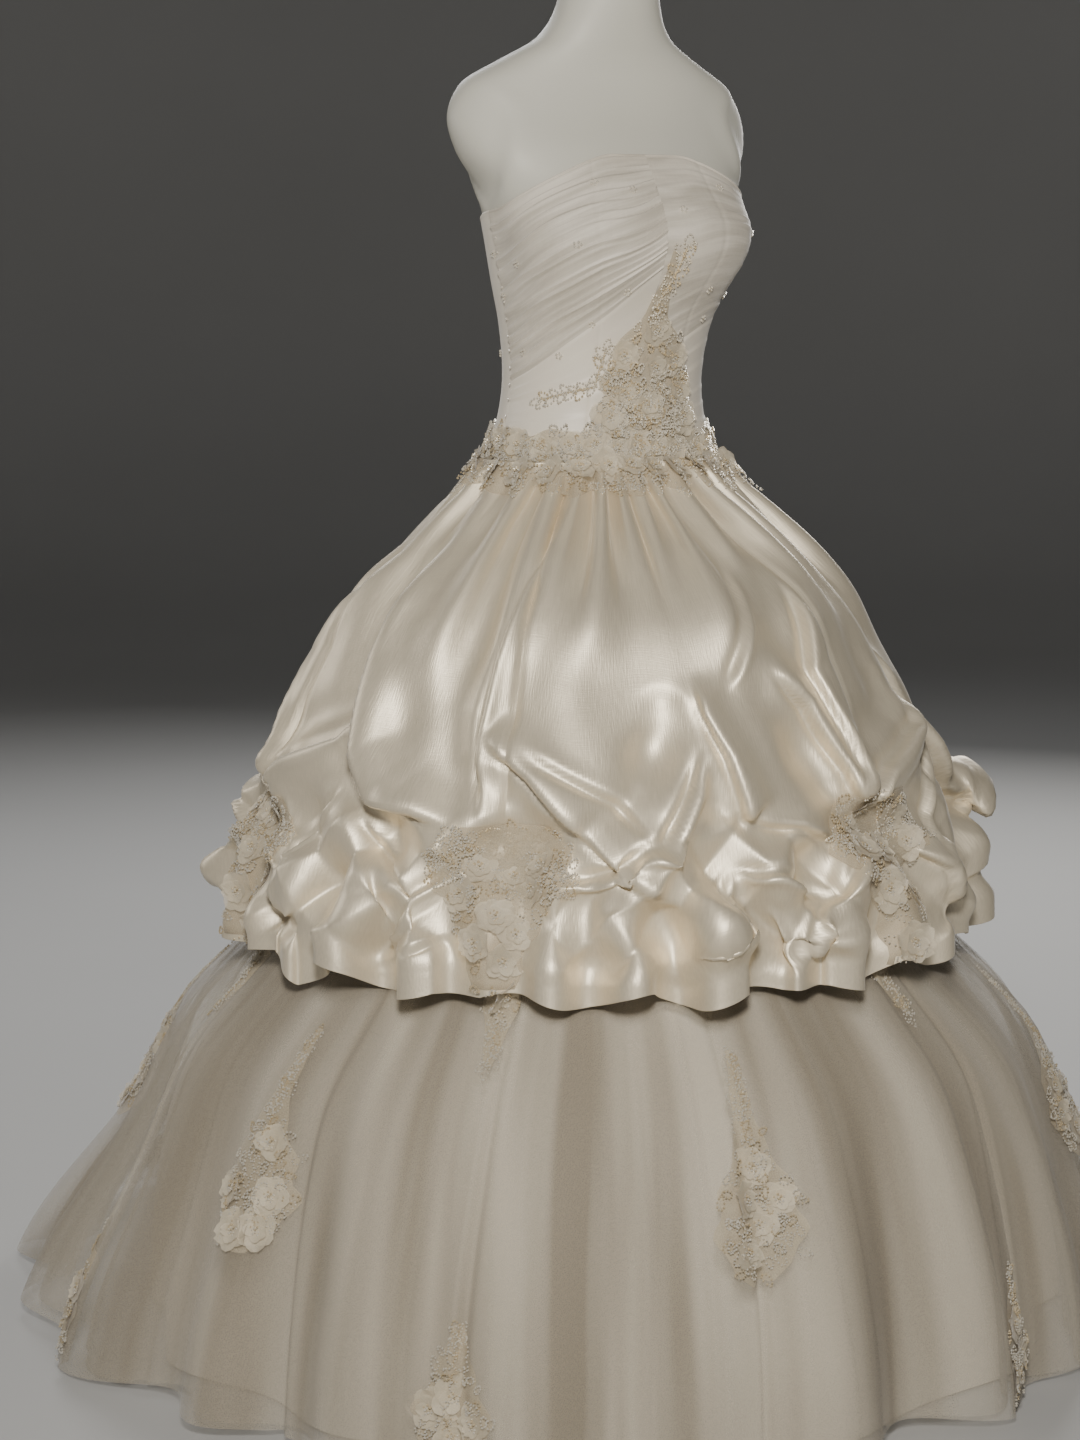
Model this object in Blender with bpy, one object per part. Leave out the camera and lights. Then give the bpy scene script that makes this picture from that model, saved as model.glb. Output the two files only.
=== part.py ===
"""Strapless ball gown with a pick-up overskirt, on the limbless dress form that carries it.

Metres, +Z up. The gown faces -Y, the floor is z = 0 and the origin is under the middle of the form's base.
Azimuths are degrees round the gown from the centre front, positive towards the wearer's left, which is +X.
"""

import math

import bmesh
import bpy
from mathutils import Vector
from mathutils.bvhtree import BVHTree

# Heights of the gown, from the floor up
HEM_HEIGHT = 0.004
SATIN_HEM_HEIGHT = 0.430
WAIST_SEAM_HEIGHT = 0.930
NECKLINE_FRONT = 1.240
NECKLINE_SIDE = 1.187
NECKLINE_BACK = 1.150

# Cloth walls and the clearances between pieces
SEAM_GAP = 0.0003
BODICE_WALL = 0.0018
DRAPE_WALL = 0.0011
LINING_WALL = 0.0016
NET_WALL = 0.0014
SATIN_WALL = 0.0018
FORM_CLEARANCE = 0.0007
LAYER_GAP = 0.0004

# The dress form's stand
BASE_RADIUS = 0.170
BASE_HEIGHT = 0.012
POLE_RADIUS = 0.016
FORM_FOOT = 0.790

# How far the net skirt trails behind the round hem
TRAIN_LENGTH = 0.190

# Plan sections of the dress form: height, middle along Y, half width, depth in front, depth behind
FORM_SECTIONS = (
    (0.790, 0.000, 0.128, 0.088, 0.096),
    (0.830, 0.000, 0.143, 0.098, 0.108),
    (0.880, 0.000, 0.138, 0.097, 0.104),
    (0.930, 0.000, 0.122, 0.092, 0.093),
    (0.980, 0.000, 0.108, 0.086, 0.084),
    (1.020, -0.002, 0.105, 0.085, 0.081),
    (1.070, -0.006, 0.111, 0.091, 0.082),
    (1.120, -0.011, 0.123, 0.100, 0.086),
    (1.170, -0.013, 0.133, 0.104, 0.089),
    (1.210, -0.010, 0.142, 0.098, 0.087),
    (1.250, -0.001, 0.166, 0.086, 0.079),
    (1.288, 0.008, 0.172, 0.071, 0.070),
    (1.320, 0.009, 0.154, 0.060, 0.060),
    (1.344, 0.002, 0.112, 0.054, 0.055),
    (1.366, -0.008, 0.074, 0.050, 0.052),
    (1.400, -0.018, 0.054, 0.048, 0.050),
    (1.450, -0.024, 0.050, 0.047, 0.048),
    (1.476, -0.026, 0.049, 0.046, 0.047),
)
FORM_WAIST = (0.000, 0.122, 0.092, 0.093)
SQUARENESS = 2.25
# Bust of the form: full up to one azimuth and gone by another, its height and spread, and the dip between
# the cups as a share of its depth and a spread in degrees
BUST_FULL = 44.0
BUST_END = 84.0
BUST_HEIGHT = 1.158
BUST_SPREAD = 0.052
BUST_DEPTH = 0.030
BUST_DIP = (0.14, 15.0)

# Outline radii of the skirts at rising heights: height, radius
SATIN_OUTLINE = (
    (0.420, 0.402),
    (0.480, 0.399),
    (0.530, 0.387),
    (0.580, 0.368),
    (0.630, 0.351),
    (0.680, 0.331),
    (0.730, 0.309),
    (0.780, 0.280),
    (0.830, 0.232),
    (0.870, 0.188),
    (0.900, 0.154),
    (0.920, 0.137),
    (0.930, 0.1320),
)
NET_OUTLINE = (
    (0.000, 0.553),
    (0.080, 0.545),
    (0.160, 0.528),
    (0.250, 0.500),
    (0.330, 0.462),
    (0.400, 0.394),
    (0.430, 0.366),
    (0.480, 0.340),
    (0.560, 0.304),
    (0.680, 0.256),
    (0.800, 0.190),
    (0.880, 0.145),
    (0.930, 0.1268),
)
LINING_OUTLINE = (
    (0.000, 0.492),
    (0.100, 0.487),
    (0.250, 0.455),
    (0.400, 0.356),
    (0.480, 0.316),
    (0.600, 0.270),
    (0.720, 0.216),
    (0.820, 0.168),
    (0.880, 0.138),
    (0.930, 0.1245),
)

# Pick-ups of the overskirt, one at the foot of each gore seam: name, azimuth, height, fold pattern, and the
# side that the pattern is turned to
PICKUPS = (
    ("right_back", -154.0, 0.556, "long", -1.0),
    ("right_side", -97.0, 0.552, "star", 1.0),
    ("right_front", -43.0, 0.556, "long", 1.0),
    ("left_front", 22.0, 0.570, "star", 1.0),
    ("left_side", 84.0, 0.560, "long", -1.0),
    ("left_back", 145.0, 0.552, "star", -1.0),
)
PICKUP_PINCH = 0.024
PICKUP_SPREAD = (8.0, 0.040)  # degrees round, metres up

# Draped folds that run to a pick-up: pattern, width, depth, then the path as turns from the pick-up and
# heights
DRAPE_FOLDS = (
    ("long", 0.024, 0.016, ((-31, 0.860), (-30, 0.750), (-26, 0.660), (-18, 0.614), (-7, 0.592),
                            (-2, 0.565))),
    ("long", 0.022, 0.013, ((3, 0.900), (-2, 0.800), (-5, 0.700), (-3, 0.620), (-1, 0.575))),
    ("long", 0.022, 0.015, ((-4, 0.690), (4, 0.646), (13, 0.590), (20, 0.560))),
    ("long", 0.020, 0.014, ((33, 0.690), (29, 0.632), (22, 0.575), (12, 0.545), (4, 0.540))),
    ("long", 0.018, 0.013, ((18, 0.556), (25, 0.525), (33, 0.494))),
    ("long", 0.018, 0.012, ((-20, 0.560), (-13, 0.520), (-10, 0.470))),
    ("star", 0.022, 0.014, ((-17, 0.760), (-10, 0.703), (-5, 0.640), (-2, 0.590))),
    ("star", 0.022, 0.014, ((3, 0.850), (-4, 0.740), (-2, 0.652), (-1, 0.600))),
    ("star", 0.024, 0.016, ((24, 0.690), (16, 0.645), (6, 0.618), (0, 0.590))),
    ("star", 0.018, 0.014, ((-5, 0.556), (-13, 0.520), (-20, 0.470))),
    ("star", 0.018, 0.012, ((6, 0.556), (13, 0.520), (17, 0.470))),
    ("star", 0.020, 0.012, ((-33, 0.740), (-29, 0.670), (-25, 0.600))),
)

# Rows of points up the overskirt, closer together where the folds are: 0 is the hem, 1 the waist seam
SATIN_ROWS = (0.0, 0.06, 0.12, 0.18, 0.24, 0.30, 0.36, 0.43, 0.51, 0.62, 0.75, 0.88, 0.95, 1.0)

# How much less full the skirts are behind, between the waist and the knees
BACK_FLATNESS = 0.026

# Waves of the cloth: how many go round, and how far the crests stand out
SATIN_GATHERS = 24
SATIN_GATHER_DEPTH = 0.0070
SATIN_BILLOWS = 11
SATIN_BILLOW_DEPTH = 0.006
RUFFLE_WAVES = 32
RUFFLE_DEPTH = 0.012
RUFFLE_DROP = 0.008
NET_WAVES = 20
NET_WAVE_DEPTH = 0.021
NET_HEM_DIPS = 9
NET_HEM_DIP = 0.007
LINING_WAVES = 12
LINING_WAVE_DEPTH = 0.016

# Where the overskirt is caught to the net between its pick-ups: height, spread, depth and how many places
TACK_HEIGHT = 0.585
TACK_SPREAD = 0.026
TACK_DEPTH = 0.010
TACKS = 15

# Seams of the bodice, azimuths at rising heights: height, princess seam, side seam
BODICE_SEAMS = (
    (0.930, 37.0, 88.0),
    (0.990, 35.0, 88.0),
    (1.070, 30.0, 87.0),
    (1.150, 30.0, 85.0),
    (1.240, 35.0, 82.0),
)
# Panels of the bodice: name, seam on its wearer's right, seam on its left, columns of points between them
BODICE_PANELS = (
    ("bodice_back_right", "back_right", "side_right", 8),
    ("bodice_side_front_right", "side_right", "princess_right", 6),
    ("bodice_centre_front", "princess_right", "princess_left", 10),
    ("bodice_side_front_left", "princess_left", "side_left", 6),
    ("bodice_back_left", "side_left", "back_left", 8),
)
BODICE_ROWS = (0.0, 0.14, 0.28, 0.41, 0.53, 0.64, 0.75, 0.87, 1.0)

# Lower edges of the bust drapes: turn from the centre front, height on the wearer's right and on the left
DRAPE_EDGES = (
    (0.0, 1.130, 1.030),
    (10.0, 1.112, 1.036),
    (25.0, 1.086, 1.053),
    (48.0, 1.054, 1.074),
    (70.0, 1.026, 1.084),
    (87.0, 1.012, 1.088),
)
DRAPE_SIDE = 87.0
DRAPE_COLUMNS = 9
DRAPE_LIFT = 0.0028
DRAPE_PLEATS = 7
DRAPE_PLEAT_DEPTH = 0.0020
MIDRIFF_FOOT = 0.975
MIDRIFF_PLEATS = 5
MIDRIFF_PLEAT_DEPTH = 0.0012

# Garland of flowers over the waist seam, and its spike up the centre front: height, half width in degrees
GARLAND_HEIGHTS = (0.900, 0.914, 0.930, 0.949, 0.968)
GARLAND_PETALS = 0.007
GARLAND_CREST = 0.0050
GARLAND_COLUMNS = 26
GARLAND_DEPTH = 0.0025
SPIKE_TURN = 4.0
SPIKE_PETALS = 0.003
SPIKE_WIDTHS = (
    (0.970, 36.0),
    (1.005, 33.0),
    (1.035, 27.0),
    (1.060, 19.0),
    (1.085, 8.0),
    (1.115, 5.0),
    (1.158, 1.2),
)

# Outlines of the floral appliques: rise from the foot, half width
PICKUP_APPLIQUE = (
    (0.000, 0.005), (0.045, 0.018), (0.095, 0.026), (0.140, 0.044), (0.185, 0.072), (0.225, 0.046),
)
MIDDLE_APPLIQUE = ((0.000, 0.014), (0.035, 0.044), (0.085, 0.040), (0.130, 0.018), (0.200, 0.006))
LOW_APPLIQUE = ((0.000, 0.030), (0.035, 0.044), (0.065, 0.032), (0.125, 0.005))
PICKUP_APPLIQUE_DROP = 0.188
MIDDLE_APPLIQUE_FOOT = 0.180
LOW_APPLIQUE_FOOT = 0.018
APPLIQUE_DEPTH = 0.0024
APPLIQUE_PETALS = 0.004


def clear_scene():
    for thing in list(bpy.data.objects):
        bpy.data.objects.remove(thing, do_unlink=True)


def finish(name, colour, roughness, sheen=0.0):
    """A plain cloth or shell finish."""
    material = bpy.data.materials.new(name)
    material.use_nodes = True
    shader = material.node_tree.nodes["Principled BSDF"]
    shader.inputs["Base Color"].default_value = (*colour, 1.0)
    shader.inputs["Roughness"].default_value = roughness
    shader.inputs["Metallic"].default_value = 0.0
    shader.inputs["Sheen Weight"].default_value = sheen
    return material


def curve(table, column, height):
    """A smooth read of one column of a table whose first column rises."""
    last = len(table) - 1
    if height <= table[0][0]:
        return table[0][column]
    if height >= table[last][0]:
        return table[last][column]
    low = max(i for i in range(last) if table[i][0] <= height)

    def slope(i):
        before, after = table[max(i - 1, 0)], table[min(i + 1, last)]
        return (after[column] - before[column]) / (after[0] - before[0])

    span = table[low + 1][0] - table[low][0]
    t = (height - table[low][0]) / span
    ease = t * t * (3 - 2 * t)
    bend = t * (1 - t) ** 2 * slope(low) - t * t * (1 - t) * slope(low + 1)
    return table[low][column] * (1 - ease) + table[low + 1][column] * ease + span * bend


def ramp(value, start, end):
    """0 before start, 1 after end, and a soft step between; start may be above end."""
    t = min(max((value - start) / (end - start), 0.0), 1.0)
    return t * t * (3 - 2 * t)


def bump(distance, spread):
    return math.exp(-((distance / spread) ** 2))


def turn_between(azimuth, other):
    """The turn from other to azimuth, from -180 to 180 degrees."""
    return (azimuth - other + 180.0) % 360.0 - 180.0


def place(azimuth, radius, height, middle=0.0):
    angle = math.radians(azimuth)
    return Vector((radius * math.sin(angle), middle - radius * math.cos(angle), height))


def uneven_wave(azimuth, count, lean):
    """A wave that goes round a whole number of times, its crests unevenly spaced and unevenly high."""
    angle = math.radians(azimuth)
    phase = count * angle + 0.55 * math.sin(3 * angle + lean) + 0.35 * math.sin(7 * angle + 2 * lean)
    height = 1.0 + 0.22 * math.sin(5 * angle + lean) + 0.14 * math.sin(11 * angle + 3 * lean)
    return height * math.cos(phase)


def superellipse(angle, half_width, depth):
    across = abs(math.sin(angle) / half_width) ** SQUARENESS
    along = abs(math.cos(angle) / depth) ** SQUARENESS
    return (across + along) ** (-1 / SQUARENESS)


def form_point(azimuth, height):
    """The skin of the dress form, a rounded section with a bust that stands out in front."""
    middle, half_width, front, back = (curve(FORM_SECTIONS, column, height) for column in (1, 2, 3, 4))
    angle = math.radians(azimuth)
    radius = superellipse(angle, half_width, front if math.cos(angle) > 0 else back)
    turn = abs(turn_between(azimuth, 0.0))
    share, spread = BUST_DIP
    bust = ramp(turn, BUST_END, BUST_FULL) * (1 - share * bump(turn, spread))
    radius += BUST_DEPTH * bust * bump(height - BUST_HEIGHT, BUST_SPREAD)
    return place(azimuth, radius, height, middle)


def neckline(azimuth):
    """Height of the bodice's top edge: nearly level in front, lower at the sides and the back."""
    turn = abs(turn_between(azimuth, 0.0))
    front = NECKLINE_FRONT - 0.006 * bump(turn, 14.0)
    side = front + (NECKLINE_SIDE - front) * ramp(turn, 30.0, 84.0)
    return side + (NECKLINE_BACK - NECKLINE_SIDE) * ramp(turn, 84.0, 150.0)


def fold_relief(azimuth, height, radius):
    """How far the draped folds lift the satin here: a soft crest with a trough under it."""
    relief = 0.0
    for _, pickup_azimuth, _, pattern, side in PICKUPS:
        turn = turn_between(azimuth, pickup_azimuth) * side
        if abs(turn) > 85:
            continue
        here = (math.radians(turn) * radius, height)
        for name, width, depth, path in DRAPE_FOLDS:
            if name != pattern:
                continue
            away, along = nearest_on_path(here, path, radius)
            fade = ramp(along, 0.0, 0.18) * ramp(along, 1.0, 0.90)
            relief += fade * depth * (bump(away, width) - 0.55 * bump(away + 1.9 * width, width))
    return relief


def nearest_on_path(here, path, radius):
    """Signed distance from a path, positive above it, and the share of the path's length passed there."""
    points = [(math.radians(turn) * radius, height) for turn, height in path]
    lengths = [math.dist(a, b) for a, b in zip(points, points[1:])]
    best, passed = (1e9, 0.0, 1.0), 0.0
    for (ax, az), (bx, bz), length in zip(points, points[1:], lengths):
        dx, dz = bx - ax, bz - az
        share = ((here[0] - ax) * dx + (here[1] - az) * dz) / length**2
        share = min(max(share, 0.0), 1.0)
        px, pz = here[0] - ax - share * dx, here[1] - az - share * dz
        side = 1.0 if dx * pz - dz * px >= 0 else -1.0
        away = math.hypot(px, pz)
        if away < best[0]:
            best = (away, passed + share * length, side)
        passed += length
    return best[0] * best[2], best[1] / passed


def skirt_radius(outline, azimuth, height):
    """An outline's radius, drawn in at the waist seam to the form's flatter section, and less full behind."""
    _, half_width, front, back = FORM_WAIST
    angle = math.radians(azimuth)
    section = superellipse(angle, half_width, front if math.cos(angle) > 0 else back)
    drawn_in = (section - half_width) * ramp(height, 0.78, WAIST_SEAM_HEIGHT)
    behind = ramp(abs(turn_between(azimuth, 0.0)), 75.0, 120.0)
    flatter = BACK_FLATNESS * behind * ramp(height, 0.89, 0.80) * ramp(height, 0.56, 0.70)
    return curve(outline, 1, height) + drawn_in - flatter


def satin_point(azimuth, height):
    """The outer face of the overskirt: waist gathers, folds to the pick-ups, and a ruffle below them."""
    radius = skirt_radius(SATIN_OUTLINE, azimuth, height)
    seam = ramp(height, WAIST_SEAM_HEIGHT, WAIST_SEAM_HEIGHT - 0.06)
    gather = (0.16 + 0.84 * seam) * ramp(height, 0.72, 0.86)
    flow = uneven_wave(azimuth, SATIN_GATHERS, 0.4)
    radius += SATIN_GATHER_DEPTH * gather * flow
    billow = ramp(height, 0.90, 0.80) * ramp(height, 0.58, 0.70)
    radius += SATIN_BILLOW_DEPTH * billow * uneven_wave(azimuth, SATIN_BILLOWS, 1.7)
    radius += fold_relief(azimuth, height, radius) * ramp(height, 0.92, 0.84)
    ruffle = ramp(height, 0.590, 0.470)
    radius += RUFFLE_DEPTH * ruffle * uneven_wave(azimuth, RUFFLE_WAVES, 2.3)
    tack = bump(height - TACK_HEIGHT, TACK_SPREAD) * (0.5 + 0.5 * uneven_wave(azimuth, TACKS, 0.9))
    radius -= TACK_DEPTH * tack
    round_it, up_it = PICKUP_SPREAD
    for _, pickup_azimuth, pickup_height, _, _ in PICKUPS:
        turn = turn_between(azimuth, pickup_azimuth)
        radius -= PICKUP_PINCH * bump(turn, round_it) * bump(height - pickup_height, up_it)
    return place(azimuth, radius, height)


def satin_hem(azimuth):
    return SATIN_HEM_HEIGHT + RUFFLE_DROP * uneven_wave(azimuth, RUFFLE_WAVES // 2, 1.1)


def net_point(azimuth, height):
    """The outer face of the net skirt, with soft upright folds and a train behind."""
    fall = ramp(height, 0.46, 0.0)
    radius = skirt_radius(NET_OUTLINE, azimuth, height)
    behind = (0.5 - 0.5 * math.cos(math.radians(azimuth))) ** 2
    radius += TRAIN_LENGTH * behind * ramp(height, 0.26, -0.05)
    fold = (0.10 + 0.90 * fall) * ramp(height, WAIST_SEAM_HEIGHT, 0.50)
    radius += NET_WAVE_DEPTH * fold * uneven_wave(azimuth, NET_WAVES, 0.8)
    return place(azimuth, radius, height)


def net_hem(azimuth):
    """It clears the floor by a little more than the lining, and dips unevenly."""
    return HEM_HEIGHT + NET_HEM_DIP * (1 + math.sin(math.radians(NET_HEM_DIPS * azimuth + 40)))


def lining_hem(azimuth):
    """Level all round."""
    return HEM_HEIGHT


def lining_point(azimuth, height):
    """The outer face of the lining skirt, round at the hem, with wide upright folds."""
    radius = skirt_radius(LINING_OUTLINE, azimuth, height)
    fall = ramp(height, 0.80, 0.05)
    radius += LINING_WAVE_DEPTH * fall * uneven_wave(azimuth, LINING_WAVES, 2.9)
    return place(azimuth, radius, height)


def outward(surface, u, v):
    """Unit normal of a surface at u, v, on the side away from the form."""
    step = 1e-3
    along = surface(u + step, v) - surface(u - step, v)
    up = surface(u, v + step) - surface(u, v - step)
    return along.cross(up).normalized()


def steps(start, end, count):
    return [start + (end - start) * i / count for i in range(count + 1)]


def solid(name, outer, inner, material):
    """A closed wall between two grids of points, each a list of rows from the bottom up, left to right."""
    rows, columns = len(outer), len(outer[0])
    mesh = bpy.data.meshes.new(name)
    build = bmesh.new()
    front = [[build.verts.new(point) for point in row] for row in outer]
    behind = [[build.verts.new(point) for point in row] for row in inner]
    for r in range(rows - 1):
        for c in range(columns - 1):
            build.faces.new((front[r][c], front[r][c + 1], front[r + 1][c + 1], front[r + 1][c]))
            build.faces.new((behind[r][c], behind[r + 1][c], behind[r + 1][c + 1], behind[r][c + 1]))
        build.faces.new((front[r][0], front[r + 1][0], behind[r + 1][0], behind[r][0]))
        build.faces.new((front[r][-1], behind[r][-1], behind[r + 1][-1], front[r + 1][-1]))
    for c in range(columns - 1):
        build.faces.new((front[0][c + 1], front[0][c], behind[0][c], behind[0][c + 1]))
        build.faces.new((front[-1][c], front[-1][c + 1], behind[-1][c + 1], behind[-1][c]))
    bmesh.ops.triangulate(build, faces=build.faces, quad_method="FIXED")
    build.to_mesh(mesh)
    build.free()
    mesh.materials.append(material)
    mesh.shade_smooth()
    mesh.set_sharp_from_angle(angle=math.radians(60))
    piece = bpy.data.objects.new(name, mesh)
    bpy.context.scene.collection.objects.link(piece)
    return piece


def panel(name, surface, us, vs, wall, material, lift=0.0, relief=None):
    """A wall of cloth on a surface(u, v), its side edges half a seam's gap back from the next panel.

    relief(u, v) raises the outer points alone.
    """
    outer, inner = [], []
    for v in vs:
        outer_row, inner_row = [], []
        for u in us:
            point, normal = surface(u, v), outward(surface, u, v)
            if u in (us[0], us[-1]):
                inwards = 1 if u == us[0] else -1
                along = (surface(u + 1e-3, v) - surface(u - 1e-3, v)).normalized()
                point = point + along * (inwards * SEAM_GAP / 2)
            raised = relief(u, v) if relief else 0.0
            inner_row.append(point + normal * lift)
            outer_row.append(point + normal * (lift + wall + raised))
        outer.append(outer_row)
        inner.append(inner_row)
    return solid(name, outer, inner, material)


def make_form(material, metal):
    """Torso from hips to neck as stacked rings with flat ends, on a pole and a round base.

    Under the bodice its rings have the bodice's own rows and columns, so that the two lie evenly apart.
    """
    rings = []
    for height in steps(FORM_FOOT, WAIST_SEAM_HEIGHT, 4)[:-1]:
        rings.append([form_point(azimuth, height) for azimuth in bodice_azimuths(0.0)])
    for v in BODICE_ROWS:
        rings.append([form_point(azimuth, bodice_height(azimuth, v)) for azimuth in bodice_azimuths(v)])
    for height in [row[0] for row in FORM_SECTIONS if row[0] > NECKLINE_FRONT]:
        rings.append([form_point(azimuth, height) for azimuth in bodice_azimuths(1.0)])
    build = bmesh.new()
    rings = [[build.verts.new(point) for point in ring] for ring in rings]
    for low, high in zip(rings, rings[1:]):
        for c in range(len(low)):
            after = (c + 1) % len(low)
            build.faces.new((low[c], low[after], high[after], high[c]))
    build.faces.new(list(reversed(rings[0])))
    build.faces.new(rings[-1])
    bmesh.ops.triangulate(build, faces=build.faces, quad_method="FIXED")
    mesh = bpy.data.meshes.new("form_torso")
    build.to_mesh(mesh)
    build.free()
    mesh.materials.append(material)
    mesh.shade_smooth()
    mesh.set_sharp_from_angle(angle=math.radians(60))
    bpy.context.scene.collection.objects.link(bpy.data.objects.new("form_torso", mesh))
    turned("form_pole", POLE_RADIUS, BASE_HEIGHT + SEAM_GAP, FORM_FOOT - SEAM_GAP, 20, metal)
    turned("form_base", BASE_RADIUS, 0.0, BASE_HEIGHT, 48, metal)


def turned(name, radius, low, high, sides, material):
    """A round bar or disc that stands on its end."""
    build = bmesh.new()
    bmesh.ops.create_cone(
        build, cap_ends=True, segments=sides, radius1=radius, radius2=radius, depth=high - low
    )
    bmesh.ops.translate(build, verts=build.verts, vec=(0, 0, (low + high) / 2))
    mesh = bpy.data.meshes.new(name)
    build.to_mesh(mesh)
    build.free()
    mesh.materials.append(material)
    bpy.context.scene.collection.objects.link(bpy.data.objects.new(name, mesh))


def bodice_seam(name, height):
    """Azimuth of a seam of the bodice at a height."""
    side = -1.0 if name.endswith("right") else 1.0
    if name.startswith("back"):
        return side * 180.0
    return side * curve(BODICE_SEAMS, 1 if name.startswith("princess") else 2, height)


def bodice_height(azimuth, v):
    """Height of the row v, which is 0 at the waist seam and 1 at the neckline."""
    return WAIST_SEAM_HEIGHT + v * (neckline(azimuth) - WAIST_SEAM_HEIGHT)


def bodice_azimuth(left, right, u, v):
    height = WAIST_SEAM_HEIGHT + v * (NECKLINE_FRONT - WAIST_SEAM_HEIGHT)
    return bodice_seam(left, height) * (1 - u) + bodice_seam(right, height) * u


def bodice_azimuths(v):
    """Every column of the row v, once round from the centre back."""
    found = []
    for _, left, right, columns in BODICE_PANELS:
        found += [bodice_azimuth(left, right, u, v) for u in steps(0, 1, columns)[:-1]]
    return found


def make_bodice(material):
    pieces = []
    for name, left, right, columns in BODICE_PANELS:

        def surface(u, v):
            azimuth = bodice_azimuth(left, right, u, v)
            return form_point(azimuth, bodice_height(azimuth, v))

        us = steps(0, 1, columns)
        pieces.append(panel(name, surface, us, BODICE_ROWS, BODICE_WALL, material, lift=FORM_CLEARANCE))
    return pieces


def make_drapes(organza, satin):
    """Pleated organza over each cup and the level pleats below it, on the bodice's surface, moved out."""
    pieces = []
    for side, column in (("right", 1), ("left", 2)):
        turns = (-DRAPE_SIDE, 0.0) if side == "right" else (0.0, DRAPE_SIDE)

        def edge(azimuth):
            return curve(DRAPE_EDGES, column, abs(azimuth))

        def bust(u, v):
            azimuth = turns[0] + u * (turns[1] - turns[0])
            low = edge(azimuth) + SEAM_GAP / 2
            return form_point(azimuth, low + v * (neckline(azimuth) - low))

        def midriff(u, v):
            azimuth = turns[0] + u * (turns[1] - turns[0])
            top = edge(azimuth) - SEAM_GAP / 2
            return form_point(azimuth, MIDRIFF_FOOT + v * (top - MIDRIFF_FOOT))

        def bust_pleat(u, v):
            return DRAPE_PLEAT_DEPTH * (round(v * 2 * DRAPE_PLEATS) % 2)

        def midriff_pleat(u, v):
            return MIDRIFF_PLEAT_DEPTH * (round(v * 2 * MIDRIFF_PLEATS) % 2)

        us = steps(0, 1, DRAPE_COLUMNS)
        lift = FORM_CLEARANCE + BODICE_WALL + DRAPE_LIFT
        rows = steps(0, 1, 2 * DRAPE_PLEATS)
        pieces.append(panel(f"bust_drape_{side}", bust, us, rows, DRAPE_WALL, organza, lift, bust_pleat))
        rows = steps(0, 1, 2 * MIDRIFF_PLEATS)
        pieces.append(panel(f"midriff_{side}", midriff, us, rows, DRAPE_WALL, satin, lift, midriff_pleat))
    return pieces


def blossom(azimuth, height, spacing):
    """Raised petals: a lumpy relief from 0 to 1 whose flowers are about a spacing apart in degrees."""
    angle = math.radians(azimuth) * 360.0 / spacing
    return 0.5 + 0.28 * math.sin(angle + 90 * height) + 0.22 * math.sin(1.7 * angle - 140 * height)


def search_tree(piece):
    mesh = piece.data
    return BVHTree.FromPolygons([v.co for v in mesh.vertices], [p.vertices for p in mesh.polygons])


def seated_panel(name, surface, us, vs, wall, material, relief, cloth):
    """A panel moved out from its surface a little at a time, until it lies on the cloth and clears it."""
    trees = [search_tree(piece) for piece in cloth]
    lift = 0.0
    while True:
        piece = panel(name, surface, us, vs, wall, material, lift, relief)
        tree = search_tree(piece)
        if not any(tree.overlap(other) for other in trees):
            break
        bpy.data.objects.remove(piece, do_unlink=True)
        lift += LAYER_GAP
    bpy.data.objects.remove(piece, do_unlink=True)
    return panel(name, surface, us, vs, wall, material, lift + LAYER_GAP / 2, relief)


def garland_point(azimuth, height):
    """Just outside the bodice above the waist seam, and outside the crests of the gathers below it."""
    below = min(height, WAIST_SEAM_HEIGHT)
    crest = GARLAND_CREST * ramp(below, WAIST_SEAM_HEIGHT + 0.008, 0.900)
    radius = skirt_radius(SATIN_OUTLINE, azimuth, below) + crest + LAYER_GAP
    if height > WAIST_SEAM_HEIGHT:
        bodice = form_point(azimuth, height).xy.length + FORM_CLEARANCE + BODICE_WALL + LAYER_GAP
        radius = bodice + (radius - bodice) * ramp(height, 0.950, WAIST_SEAM_HEIGHT)
    return place(azimuth, radius, height)


def make_garland(material, cloth):
    pieces = []
    low, high = GARLAND_HEIGHTS[0], GARLAND_HEIGHTS[-1]
    for side, start in (("front", -90.0), ("back", 90.0)):

        def surface(u, height):
            return garland_point(start + u * 180.0, height)

        def petals(u, height):
            edge = 0.3 if height in (low, high) else 1.0
            return GARLAND_PETALS * edge * blossom(start + u * 180.0, height, 17.0)

        us = steps(0, 1, GARLAND_COLUMNS)
        name = f"waist_garland_{side}"
        rows = GARLAND_HEIGHTS
        pieces.append(seated_panel(name, surface, us, rows, GARLAND_DEPTH, material, petals, cloth))
    return pieces


def make_spike(material, cloth):
    """The spray that climbs the centre front from the garland."""
    foot, tip = SPIKE_WIDTHS[0][0], SPIKE_WIDTHS[-1][0]

    def surface(u, v):
        height = foot + v * (tip - foot)
        azimuth = SPIKE_TURN + (2 * u - 1) * curve(SPIKE_WIDTHS, 1, height)
        return form_point(azimuth, height)

    def petals(u, v):
        return SPIKE_PETALS * (1 - v) * blossom(70 * u, 0.2 * v, 16.0)

    us, vs = steps(0, 1, 8), steps(0, 1, 8)
    seated_panel("front_spike", surface, us, vs, APPLIQUE_DEPTH, material, petals, cloth)


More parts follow.
